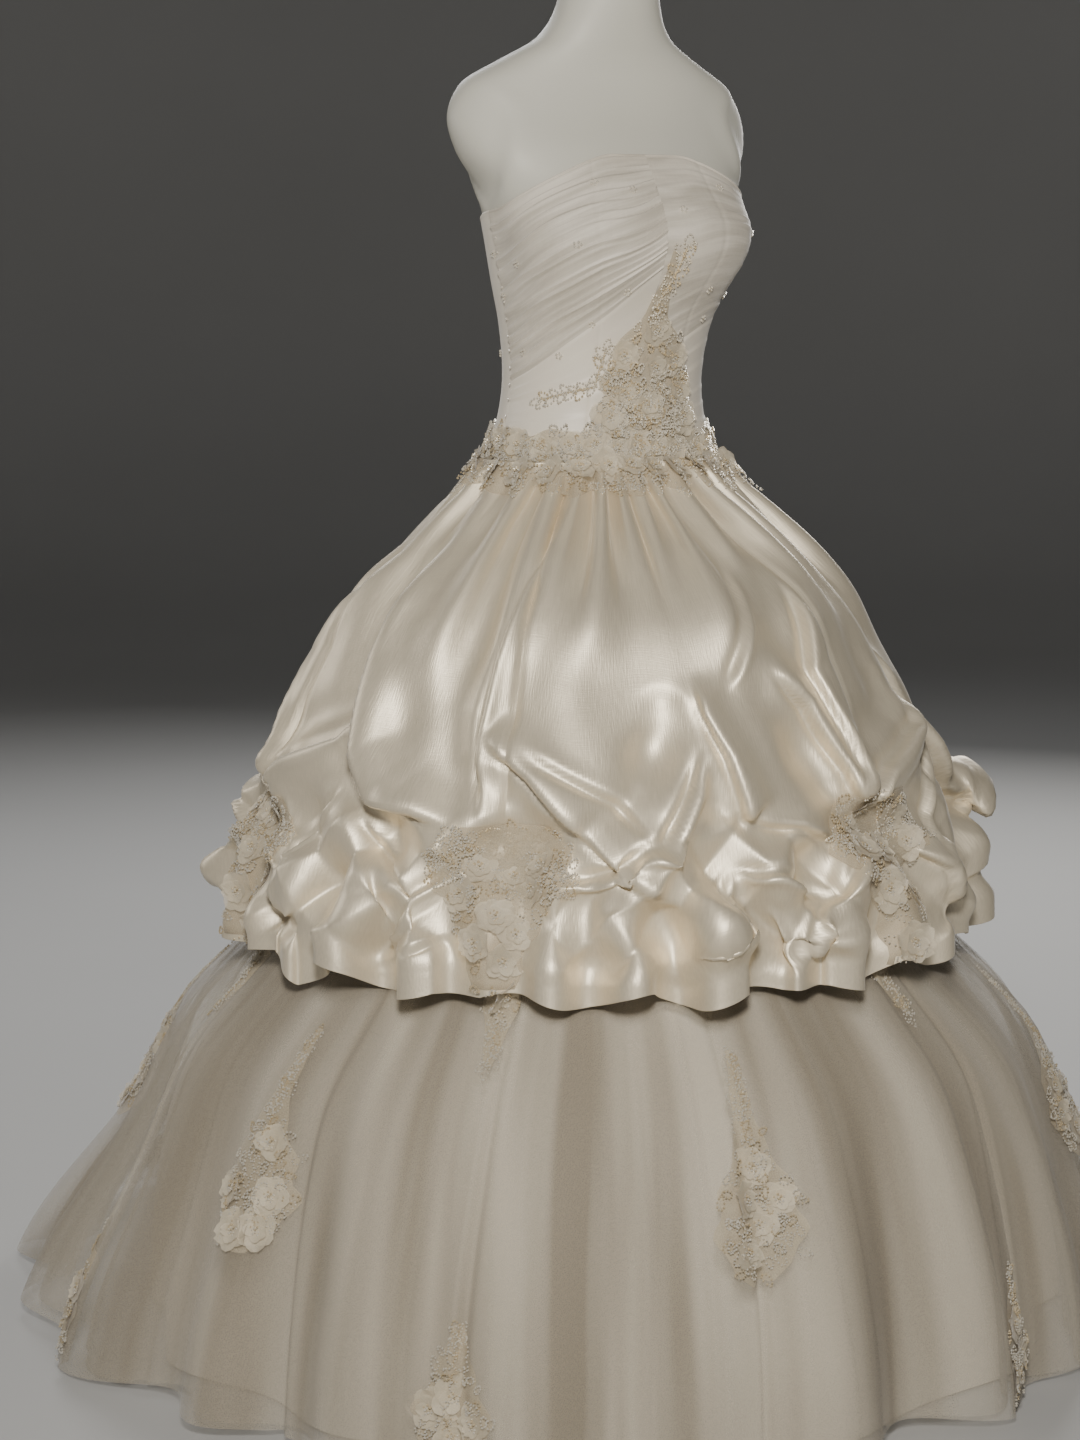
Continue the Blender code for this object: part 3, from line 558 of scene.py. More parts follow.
# Lining skirt
# Four gores of plain ivory satin from the waist seam to the floor, opaque behind the net.
# Outlines of the overskirt, the net and the lining: height, radius
SATIN_OUTLINE = (
    (0.420, 0.402),
    (0.480, 0.399),
    (0.530, 0.387),
    (0.580, 0.368),
    (0.630, 0.351),
    (0.680, 0.331),
    (0.730, 0.309),
    (0.780, 0.280),
    (0.830, 0.232),
    (0.870, 0.188),
    (0.900, 0.154),
    (0.920, 0.137),
    (0.930, 0.1320),
)
NET_OUTLINE = (
    (0.000, 0.553),
    (0.080, 0.545),
    (0.160, 0.528),
    (0.250, 0.500),
    (0.330, 0.462),
    (0.400, 0.394),
    (0.430, 0.366),
    (0.480, 0.340),
    (0.560, 0.304),
    (0.680, 0.256),
    (0.800, 0.190),
    (0.880, 0.145),
    (0.930, 0.1268),
)
LINING_OUTLINE = (
    (0.000, 0.492),
    (0.100, 0.487),
    (0.250, 0.455),
    (0.400, 0.356),
    (0.480, 0.316),
    (0.600, 0.270),
    (0.720, 0.216),
    (0.820, 0.168),
    (0.880, 0.138),
    (0.930, 0.1245),
)
# Half width, depth in front and depth behind, at the waist seam
FORM_WAIST = (0.122, 0.092, 0.093)
BACK_FLATNESS = 0.026
HEM_HEIGHT = 0.004
LINING_WAVES = 12
LINING_WAVE_DEPTH = 0.016
LINING_GRID = (73, 73)
LINING_CUT = (0.80, 1.05)
QUARTERS = (("right_back", -180.0), ("right_front", -90.0), ("left_front", 0.0), ("left_back", 90.0))
LINING_COLOURS = ((0.74, 0.67, 0.54), (0.80, 0.73, 0.60))


def uneven_wave(azimuth, count, lean):
    """A wave that goes round a whole number of times, its crests unevenly spaced and unevenly high."""
    angle = np.radians(azimuth)
    phase = count * angle + 0.55 * np.sin(3 * angle + lean) + 0.35 * np.sin(7 * angle + 2 * lean)
    height = 1.0 + 0.22 * np.sin(5 * angle + lean) + 0.14 * np.sin(11 * angle + 3 * lean)
    return height * np.cos(phase)


def skirt_radius(outline, azimuth, height):
    """An outline's radius, drawn in at the waist seam to the form's flatter section, and less full behind."""
    half_width, front, back = FORM_WAIST
    angle = np.radians(azimuth)
    section = superellipse(angle, half_width, np.where(np.cos(angle) > 0, front, back))
    drawn_in = (section - half_width) * ramp(height, 0.78, WAIST_SEAM)
    behind = ramp(np.abs(turn_between(azimuth, 0.0)), 75.0, 120.0)
    flatter = BACK_FLATNESS * behind * ramp(height, 0.89, 0.80) * ramp(height, 0.56, 0.70)
    return curve(outline, 1, height) + drawn_in - flatter


def lining_point(azimuth, height):
    """The lining skirt, round at the hem, with wide upright folds."""
    fall = ramp(height, 0.80, 0.05)
    folds = LINING_WAVE_DEPTH * fall * uneven_wave(azimuth, LINING_WAVES, 2.9)
    return place(azimuth, skirt_radius(LINING_OUTLINE, azimuth, height) + folds, height)


lining_satin, shader, spot = new_finish("lining_satin", Roughness=0.48, Sheen_Weight=0.2)
threads = weave(lining_satin, 700.0, 700.0, 0.5)
feed(shader, Base_Color=spot.noise(6.0).between(*LINING_COLOURS), Normal=threads.raised(0.15, 0.0005))
shares, up = grid_shares(*LINING_GRID)
for quarter, start in QUARTERS:
    points = lining_point(start + 90.0 * shares, HEM_HEIGHT + up * (WAIST_SEAM - HEM_HEIGHT))
    piece = cloth(f"lining_{quarter}_cloth", points, lining_satin, cut=LINING_CUT)
    fit(piece, "lining", f"lining_{quarter}")


# Net skirt
# Two layers of soft net over the lining. Both are gathered into the waist seam, and each falls in folds that
# lie over their own edges. They trail on the floor behind, and their raw hems are cut, not sewn.
TRAIN_LENGTH = 0.190
NET_WAVES = 20
NET_WAVE_DEPTH = 0.021
NET_LAYERS = (
    # name, how far in from the outline, first fold, depth of the folds, how much of the train it has
    ("net_skirt", 0.0030, -77.0, 0.0110, 1.0),
    ("net_under", 0.0160, -31.0, 0.0100, 0.86),
)
NET_GRID = (241, 47)
NET_CUT = (1.10, 1.05)
# Degrees from the edge of one laid fold to the next, over and over
NET_FOLD_GAPS = (13.5, 7.5, 9.0, 4.5, 15.0, 5.0, 12.0, 10.5, 19.0, 6.0, 18.0)
NET_FOLD_EDGE = 1.3
NET_FOLD_WANDER = 1.6
# Colours of the net: the dark one is painted shade that darkens its upright streaks like shaded folds, the
# light one is the net's own colour
NET_AND_FOLD_SHADE_COLOURS = ((0.34, 0.295, 0.225), (0.66, 0.605, 0.50))
# How much the net hides in its streaks, where it is doubled and darkened with painted fold shade, and where it
# is single
NET_CLOSENESS = (0.46, 0.17)
NET_CELLS = 620.0
NET_THREAD = 0.16


def train(azimuth, height):
    """How far the train leads the net out from its outline here."""
    behind = (0.5 - 0.5 * np.cos(np.radians(azimuth))) ** 2
    return TRAIN_LENGTH * behind * ramp(height, 0.26, -0.05)


def net_point(azimuth, height):
    """The net skirt's outline, with soft upright folds and a train behind."""
    fold = (0.10 + 0.90 * ramp(height, 0.46, 0.0)) * ramp(height, WAIST_SEAM, 0.50)
    folds = NET_WAVE_DEPTH * fold * uneven_wave(azimuth, NET_WAVES, 0.8)
    radius = skirt_radius(NET_OUTLINE, azimuth, height) + train(azimuth, height) + folds
    return place(azimuth, radius, height)


def net_hem(azimuth):
    """It clears the floor by a little more than the lining, and dips unevenly."""
    return HEM_HEIGHT + 0.007 * (1 + np.sin(np.radians(9 * azimuth + 40)))


def laid_folds(azimuth, height, first):
    """From 0 to 1: the net rises slowly to the edge of each fold and drops sharply there, on uneven sides."""
    edges = first - 360.0 + np.concatenate([[0.0], np.cumsum(NET_FOLD_GAPS * 6)])
    wander = NET_FOLD_WANDER * np.sin(6.0 * height + np.radians(5 * azimuth))
    here = azimuth + wander * ramp(height, 0.0, 0.4)
    which = np.clip(np.searchsorted(edges, here, side="right") - 1, 0, len(edges) - 2)
    into, left = here - edges[which], edges[which + 1] - here
    gap = edges[which + 1] - edges[which]
    number = which % len(NET_FOLD_GAPS)
    rising = ramp(left, 0.0, NET_FOLD_EDGE) * (into / gap) ** 1.5
    falling = ramp(into, 0.0, NET_FOLD_EDGE) * (left / gap) ** 1.5
    strength = 0.35 + 0.65 * ((7 * number) % 11) / 10
    return strength * np.where(number % 3 == 1, falling, rising)


net, shader, spot = new_finish("net", Roughness=0.85, Specular_IOR_Level=0.2, Sheen_Weight=0.15)
cells = spot.add(
    "ShaderNodeTexVoronoi", {"feature": "DISTANCE_TO_EDGE"}, {"Vector": spot, "Scale": NET_CELLS}
)
threads = cells.maths("LESS_THAN", cells, NET_THREAD)
# Upright streaks where the net is denser, partly doubled net and partly painted fold shade in its colour
density_and_fold_shade = flat_cloth(net).stretched((9.0, 0.7, 1.0)).noise(1.0, 3.0).contrasted(0.40, 0.60)
close_net, open_net = NET_CLOSENESS
feed(shader, Base_Color=density_and_fold_shade.between(*NET_AND_FOLD_SHADE_COLOURS))
feed(shader, Alpha=threads * 0.16 + density_and_fold_shade * (open_net - close_net) + close_net)
shares, up = grid_shares(*NET_GRID)
net_pieces = []
for layer, inwards, first, depth, share_of_train in NET_LAYERS:
    for quarter, start in QUARTERS:
        azimuths = start + 90.0 * shares
        low = net_hem(azimuths)
        heights = low + up * (WAIST_SEAM - 0.002 - low)
        fullness = 0.18 + 0.82 * ramp(heights, 0.52, 0.12)
        stand = 2.0 * depth * fullness * (laid_folds(azimuths, heights, first) - 0.3)
        stand *= ramp(heights, 0.93, 0.80)
        stand -= inwards + (1 - share_of_train) * train(azimuths, heights)
        points = net_point(azimuths, heights)
        points += outwards(points) * stand[..., None]
        piece = cloth(f"{layer}_{quarter}_cloth", points, net, cut=NET_CUT)
        nodes = [f"net_skirt_{quarter}"] if layer == "net_skirt" else []
        fit(piece, "net", *nodes)
        net_pieces += [piece] if nodes else []


# Overskirt
# Six gores of heavy ivory satin, gathered at the waist seam. At the foot of each gore seam the cloth is
# picked up and tacked to the net, and between the pick-ups it is caught in smaller places, so that it falls
# in soft swags over a crumpled band and a loose hem with pulled corners.
SATIN_HEM = 0.430
PICKUPS = (
    # name, azimuth, height, pattern of the folds that run to it, and 1, or -1 where they are mirrored
    ("right_back", -154.0, 0.556, "long", -1.0),
    ("right_side", -97.0, 0.552, "star", 1.0),
    ("right_front", -43.0, 0.556, "long", 1.0),
    ("left_front", 22.0, 0.570, "star", 1.0),
    ("left_side", 84.0, 0.560, "long", -1.0),
    ("left_back", 145.0, 0.552, "star", -1.0),
)
PICKUP_PINCH = 0.024
# Reach of a pick-up's pinch, in degrees round the gown and in metres up it
PICKUP_SPREAD = (8.0, 0.040)
# Turn from a pick-up past which its folds end
PATTERN_REACH = 85
# Long soft folds: width, depth, then the path as turns from the pick-up and heights
DRAPE_FOLDS = {
    "long": (
        (0.024, 0.016, ((-31, 0.86), (-30, 0.75), (-26, 0.66), (-18, 0.614), (-7, 0.592), (-2, 0.565))),
        (0.022, 0.013, ((3, 0.9), (-2, 0.8), (-5, 0.7), (-3, 0.62), (-1, 0.575))),
        (0.022, 0.015, ((-4, 0.69), (4, 0.646), (13, 0.59), (20, 0.56))),
        (0.02, 0.014, ((33, 0.69), (29, 0.632), (22, 0.575), (12, 0.545), (4, 0.54))),
        (0.018, 0.013, ((18, 0.556), (25, 0.525), (33, 0.494))),
        (0.018, 0.012, ((-20, 0.56), (-13, 0.52), (-10, 0.47))),
    ),
    "star": (
        (0.022, 0.014, ((-17, 0.76), (-10, 0.703), (-5, 0.64), (-2, 0.59))),
        (0.022, 0.014, ((3, 0.85), (-4, 0.74), (-2, 0.652), (-1, 0.6))),
        (0.024, 0.016, ((24, 0.69), (16, 0.645), (6, 0.618), (0, 0.59))),
        (0.018, 0.014, ((-5, 0.556), (-13, 0.52), (-20, 0.47))),
        (0.018, 0.012, ((6, 0.556), (13, 0.52), (17, 0.47))),
        (0.02, 0.012, ((-33, 0.74), (-29, 0.67), (-25, 0.6))),
    ),
}
SATIN_GATHERS = 24
SATIN_GATHER_DEPTH = 0.0070
SATIN_BILLOWS = 11
SATIN_BILLOW_DEPTH = 0.009
RUFFLE_WAVES = 32
RUFFLE_DEPTH = 0.012
RUFFLE_DROP = 0.008
GORE_COLUMNS = 124
SATIN_ROWS = 156
# Power that packs the rows towards the hem
SATIN_ROWS_LOW = 1.4
GORE_CUT = (0.46, 0.78)
SATIN_COLOURS = ((0.62, 0.545, 0.41), (0.92, 0.825, 0.65))


def nearest_on_path(around, height, path, radius):
    """Signed distance from a path, positive above it, and the share of the path's length passed there."""
    best = np.full(around.shape, 1e9)
    side, along, passed = np.ones_like(best), np.zeros_like(best), np.zeros_like(best)
    for (turn_a, height_a), (turn_b, height_b) in zip(path, path[1:]):
        ax, bx = math.radians(turn_a) * radius, math.radians(turn_b) * radius
        dx, dz = bx - ax, height_b - height_a
        length = np.hypot(dx, dz)
        share = np.clip(((around - ax) * dx + (height - height_a) * dz) / length**2, 0.0, 1.0)
        px, pz = around - ax - share * dx, height - height_a - share * dz
        away = np.hypot(px, pz)
        nearer = away < best
        best = np.where(nearer, away, best)
        along = np.where(nearer, passed + share * length, along)
        side = np.where(nearer, np.where(dx * pz - dz * px >= 0, 1.0, -1.0), side)
        passed = passed + length
    return best * side, along / passed


def fold_relief(azimuth, height, radius):
    """How far the draped folds lift the satin here: a soft crest with a trough under it."""
    relief = np.zeros_like(azimuth)
    for _, pickup_azimuth, _, pattern, side in PICKUPS:
        turn = turn_between(azimuth, pickup_azimuth) * side
        around = np.radians(turn) * radius
        for width, depth, path in DRAPE_FOLDS[pattern]:
            away, along = nearest_on_path(around, height, path, radius)
            fade = ramp(along, 0.0, 0.18) * ramp(along, 1.0, 0.90)
            crest = fade * depth * (bump(away, width) - 0.55 * bump(away + 1.9 * width, width))
            relief += np.where(np.abs(turn) > PATTERN_REACH, 0.0, crest)
    return relief


def satin_point(azimuth, height):
    """The overskirt's shape: gathers at the waist, folds to the pick-ups, a ruffle below them."""
    radius = skirt_radius(SATIN_OUTLINE, azimuth, height)
    seam = ramp(height, WAIST_SEAM, WAIST_SEAM - 0.06)
    gather = (0.16 + 0.84 * seam) * ramp(height, 0.72, 0.86)
    radius = radius + SATIN_GATHER_DEPTH * gather * uneven_wave(azimuth, SATIN_GATHERS, 0.4)
    billow = ramp(height, 0.90, 0.80) * ramp(height, 0.58, 0.70)
    radius += SATIN_BILLOW_DEPTH * billow * uneven_wave(azimuth, SATIN_BILLOWS, 1.7)
    radius += fold_relief(azimuth, height, radius) * ramp(height, 0.92, 0.84)
    radius += RUFFLE_DEPTH * ramp(height, 0.590, 0.470) * uneven_wave(azimuth, RUFFLE_WAVES, 2.3)
    round_it, up_it = PICKUP_SPREAD
    for _, pickup_azimuth, pickup_height, _, _ in PICKUPS:
        turn = turn_between(azimuth, pickup_azimuth)
        radius -= PICKUP_PINCH * bump(turn, round_it) * bump(height - pickup_height, up_it)
    return place(azimuth, radius, height)


def satin_hem(azimuth):
    return SATIN_HEM + RUFFLE_DROP * uneven_wave(azimuth, RUFFLE_WAVES // 2, 1.1)


# Pleats of the waist gathers: round crests between sharp valleys, each running down to its own height
PLEATS_ROUND = 15
PLEAT_DEPTH = 0.0165
PLEAT_END = 0.800
PLEAT_END_WANDER = 0.045
# Creases pulled and pressed into the satin: soft width above the edge, sharp width below it, depth, then
# the path as turns from the pick-up and heights
CREASES = {
    "long": (
        (
            0.03, 0.006, 0.015,
            ((-32, 0.87), (-31, 0.746), (-27, 0.655), (-22, 0.617), (-15, 0.61), (-6, 0.59)),
        ),
        (0.018, 0.005, 0.009, ((4, 0.915), (-1, 0.821), (-4, 0.747), (-5, 0.684), (-3, 0.59))),
        (0.03, 0.005, 0.01, ((-5, 0.684), (4, 0.646), (14, 0.58))),
        (0.03, 0.005, 0.007, ((1, 0.676), (9, 0.651), (18, 0.624), (24, 0.585))),
        (0.022, 0.005, 0.011, ((32, 0.739), (33, 0.705), (36, 0.665), (38, 0.62), (39, 0.583))),
        (0.026, 0.0045, 0.014, ((33, 0.671), (30, 0.632), (25, 0.579), (15, 0.55), (7, 0.538))),
        (0.018, 0.004, 0.01, ((-4, 0.552), (-13, 0.528), (-15, 0.492), (-20, 0.45))),
        (0.014, 0.0035, 0.008, ((35, 0.554), (34, 0.524), (37, 0.486))),
        (0.016, 0.004, 0.009, ((-26, 0.59), (-19, 0.562), (-13, 0.528))),
        (0.014, 0.004, 0.008, ((12, 0.596), (17, 0.566), (24, 0.527))),
    ),
    "star": (
        (0.026, 0.005, 0.014, ((-17, 0.742), (-10, 0.703), (-5, 0.635), (-3, 0.59))),
        (0.02, 0.006, 0.007, ((-12, 0.831), (-19, 0.775), (-26, 0.718))),
        (0.02, 0.005, 0.01, ((1, 0.823), (-6, 0.733), (-3, 0.652), (-2, 0.595))),
        (0.022, 0.005, 0.012, ((24, 0.69), (19, 0.661), (5, 0.628), (-3, 0.592))),
        (0.018, 0.004, 0.011, ((-5, 0.556), (-15, 0.514), (-21, 0.448))),
        (0.016, 0.004, 0.01, ((5, 0.56), (13, 0.522), (15, 0.47))),
        (0.018, 0.004, 0.01, ((-15, 0.514), (-23, 0.54), (-30, 0.548))),
        (0.016, 0.004, 0.009, ((22, 0.61), (16, 0.56), (13, 0.522))),
        (0.014, 0.004, 0.008, ((-26, 0.6), (-17, 0.59), (-9, 0.566))),
    ),
}
# Folded facets of the crumpled band, as families of slanting folds: folds round the gown, how far they
# turn round it in a metre of height, depth, lean
FACET_FOLDS = ((21, 130.0, 0.0105, 0.6), (18, -150.0, 0.0105, 2.1), (13, 30.0, 0.0070, 3.3))
# Heights where the crumpled band starts, is full, calms and ends
FACET_BAND = (0.445, 0.480, 0.560, 0.615)
FOLD_LAP = 0.56
HEM_CORNERS = 23
HEM_CORNER_DEPTH = 0.0150
HEM_CORNER_DROP = 0.0080
# Soft dents between the long folds: turn from the pick-up, height, half width, half height, depth
DENTS = {
    "long": (
        (15, 0.735, 0.04, 0.055, 0.0134),
        (-20, 0.69, 0.028, 0.04, 0.009),
        (9, 0.85, 0.016, 0.05, 0.005),
        (31, 0.8, 0.024, 0.07, 0.008),
        (-12, 0.77, 0.026, 0.05, 0.009),
        (24, 0.66, 0.03, 0.024, 0.009),
    ),
    "star": (
        (-28, 0.72, 0.036, 0.05, 0.0109),
        (11, 0.74, 0.034, 0.06, 0.0115),
        (-14, 0.86, 0.016, 0.05, 0.005),
        (26, 0.79, 0.026, 0.06, 0.0096),
        (-13, 0.655, 0.026, 0.026, 0.0083),
    ),
}
# Where a spray lies the cloth is calmer: half width, how far below the pick-up, half height, share
SPRAY_REST = (0.075, 0.060, 0.075, 0.75)
# Rows of the hem's turned edge: the gore's row that each follows, how far inside it and how far above it
HEM_TURN = ((4, 0.0030, 0.0), (0, 0.0022, 0.0010), (0, 0.0, -0.0004))
GORE_SEAM_DIP = 0.0032
GORE_SEAM_HALF = 0.0042
# Width of a crease's crest as a share of its soft side, and how far it droops as a share of its depth
LIP_CREST = 0.32
LIP_DROOP = 0.55


def uneven_zigzag(azimuth, count, lean):
    """Like uneven_wave, but with sharp corners and straight sides of uneven slope, as in lapped folds."""
    angle = np.radians(azimuth)
    phase = count * angle + 0.75 * np.sin(3 * angle + lean) + 0.45 * np.sin(7 * angle + 2 * lean)
    height = 1.0 + 0.30 * np.sin(5 * angle + lean) + 0.20 * np.sin(9 * angle + 3 * lean)
    share = (phase / (2 * np.pi)) % 1.0
    return height * (2 * np.where(share < FOLD_LAP, share / FOLD_LAP, (1 - share) / (1 - FOLD_LAP)) - 1)


gore_starts = [azimuth for _, azimuth, _, _, _ in PICKUPS] + [PICKUPS[0][1] + 360.0]
columns = np.concatenate(
    [np.linspace(a, b, GORE_COLUMNS + 1)[:-1] for a, b in zip(gore_starts, gore_starts[1:])]
)
around, up = np.meshgrid(columns, np.linspace(0.0, 1.0, SATIN_ROWS + 1) ** SATIN_ROWS_LOW)
height = satin_hem(around) + up * (WAIST_SEAM - satin_hem(around))
hung = satin_point(around, height)
far = np.hypot(hung[..., 0], hung[..., 1])
angle = np.radians(around)

# The waist's pleats, the crumpled band's facets and the hem's pulled corners
phase = PLEATS_ROUND * angle + 0.9 * np.sin(2 * angle + 0.6) + 0.6 * np.sin(5 * angle + 1.9)
end = PLEAT_END + PLEAT_END_WANDER * np.sin(4 * angle + 1.0) + 0.6 * PLEAT_END_WANDER * np.sin(9 * angle)
relief = PLEAT_DEPTH * (np.abs(np.sin(phase)) - 0.6)
relief *= ramp(height, end, end + 0.10) * ramp(height, WAIST_SEAM, 0.918)
low, full, calm, top = FACET_BAND
band = ramp(height, low, full) * ramp(height, top, calm)
for count, slant, depth, lean in FACET_FOLDS:
    relief += depth * band * uneven_zigzag(around + slant * (height - full), count, lean)
corner = uneven_zigzag(around, HEM_CORNERS, 1.4) * ramp(height, 0.520, 0.440)
relief += HEM_CORNER_DEPTH * corner
droop = -HEM_CORNER_DROP * corner

# The cloth is calmer where a spray is stitched over it
half, below, reach, share = SPRAY_REST
for _, pickup_azimuth, pickup_height, _, _ in PICKUPS:
    across = np.radians(turn_between(around, pickup_azimuth)) * far
    relief *= 1 - share * bump(across, half) * bump(height - pickup_height + below, reach)

# Dents, gore seam and creases of each pick-up
for _, pickup_azimuth, _, pattern, side in PICKUPS:
    turn = turn_between(around, pickup_azimuth) * side
    for dent_turn, dent_height, half, tall, depth in DENTS[pattern]:
        across = np.radians(turn_between(turn, dent_turn)) * far
        relief -= depth * bump(across, half) * bump(height - dent_height, tall)
    relief -= GORE_SEAM_DIP * bump(np.radians(turn) * far, GORE_SEAM_HALF) * ramp(height, 0.58, 0.64)
    for soft, sharp, depth, path in CREASES[pattern]:
        away, along = nearest_on_path(np.radians(turn) * far, height, path, far)
        fade = np.where(np.abs(turn) > PATTERN_REACH, 0.0, ramp(along, 0.0, 0.22) * ramp(along, 1.0, 0.80))
        swell = 0.45 * bump(away, soft) + 0.55 * bump(away, LIP_CREST * soft)
        lip = np.where(away * side > 0, swell, bump(away, sharp))
        under = 0.50 * bump(away * side + 1.6 * sharp, sharp)
        relief += fade * depth * (lip - under)
        droop += LIP_DROOP * fade * depth * bump(away, 2 * sharp)

# All of it lifts the cloth along its own normals, which are worked out past the join
wrapped = np.concatenate([hung[:, -2:], hung, hung[:, :2]], axis=1)
relief = np.concatenate([relief[:, -2:], relief, relief[:, :2]], axis=1)
hung = lifted(wrapped, relief * ramp(wrapped[..., 2], 0.93, 0.915))[:, 2:-2]
hung[..., 2] -= droop

ivory_satin, shader, spot = new_finish(
    "ivory_satin", Roughness=0.47, Metallic=0.55, Sheen_Weight=0.15, Sheen_Roughness=0.3
)
threads = weave(ivory_satin, 560.0, 900.0, 0.72)
shades = spot.noise(5.0, 2.0) * 0.35 + threads * 0.65
feed(shader, Base_Color=shades.between(*SATIN_COLOURS), Normal=threads.raised(0.55, 0.0007))
feed(shader, Roughness=threads * 0.16 + 0.40)
satin_pieces = []
for number, (name, *_) in enumerate(PICKUPS):
    first = number * GORE_COLUMNS
    gore = hung[:, np.arange(first, first + GORE_COLUMNS + 1) % len(columns)]
    out = outwards(gore[0])
    turned = [gore[row] - out * inside + (0, 0, above) for row, inside, above in HEM_TURN]
    points = np.concatenate([np.stack(turned), gore])
    piece = cloth(f"satin_gore_{name}_cloth", points, ivory_satin, cut=GORE_CUT)
    fit(piece, "skirt_satin", f"satin_gore_{name}")
    satin_pieces.append(piece)


# Flowers and bead work
# Flowers of gathered organza petals with crystals at their hearts, on a lace ground among looped leaves and
# vines of silver-lined and gold beads. Each spray is made apart and stitched down: a garland round the waist,
# a spike up the bodice, one at each pick-up and two rows on the net.
PETAL_ROWS = 6
PETAL_COLUMNS = 5
PETAL_RINGS = (
    # petals, turn, uneven spacing, shortest, longest, tilt, height of a foot, and what each second one adds
    (6, 0.0, 0.16, 0.88, 1.12, 0.06, 0.0024, 0.0007),
    (5, 0.5, 0.20, 0.50, 0.68, 0.26, 0.0038, 0.0005),
)
PETAL_HALF = 0.52
PETAL_CUP = 0.08
PETAL_FRILL = 0.07
BEAD = 0.00120
CRYSTAL = 0.0016
HEART_BEADS = 11
LEAF_BEADS = 10
LEAF_LENGTH = 0.0120
LEAF_HALF = 0.0034
LEAF_STAND = 0.0016
LEAF_STAND_ON_FLOWER = 0.0052
LEAF_MARGIN = 0.003
LEAF_CLEARANCE = 0.30
GOLD_SHARE = 0.25
VINE_STEP = 0.0026
GROUND_LIFT = 0.0012
GROUND_EVENINGS = 4
SCATTER_TRIES = 12
SEAM_STEPS = (0.0, 0.0015, -0.0015, 0.004, -0.004)
PETAL_COLOURS = ((0.58, 0.515, 0.40), (0.83, 0.735, 0.555))
GROUND_COLOURS = ((0.50, 0.42, 0.29), (0.62, 0.54, 0.40))
SILVER_COLOURS = ((0.68, 0.63, 0.53), (0.98, 0.94, 0.84))
GOLD_COLOURS = ((0.68, 0.56, 0.36), (0.95, 0.83, 0.60))
GROUND, PETAL, SILVER, GOLD = range(4)

sewn_on = bodice_pieces + satin_pieces + net_pieces
points, faces = [], []
for piece in sewn_on:
    first = len(points)
    points += [vertex.co.copy() for vertex in piece.data.vertices]
    faces += [[first + corner for corner in polygon.vertices] for polygon in piece.data.polygons]
gown = BVHTree.FromPolygons(points, faces)

ball = bmesh.new()
bmesh.ops.create_icosphere(ball, subdivisions=1, radius=1.0)
ball.verts.index_update()
BEAD_POINTS = np.array([vertex.co[:] for vertex in ball.verts])
BEAD_FACES = np.array([[vertex.index for vertex in face.verts] for face in ball.faces])
ball.free()
CUT_BEAD_POINTS = 1.15 * np.array([(1, 0, 0), (0, 1, 0), (-1, 0, 0), (0, -1, 0), (0, 0, 1), (0, 0, -1)])
CUT_BEAD_FACES = np.array([(a, (a + 1) % 4, 4) for a in range(4)] + [((a + 1) % 4, a, 5) for a in range(4)])


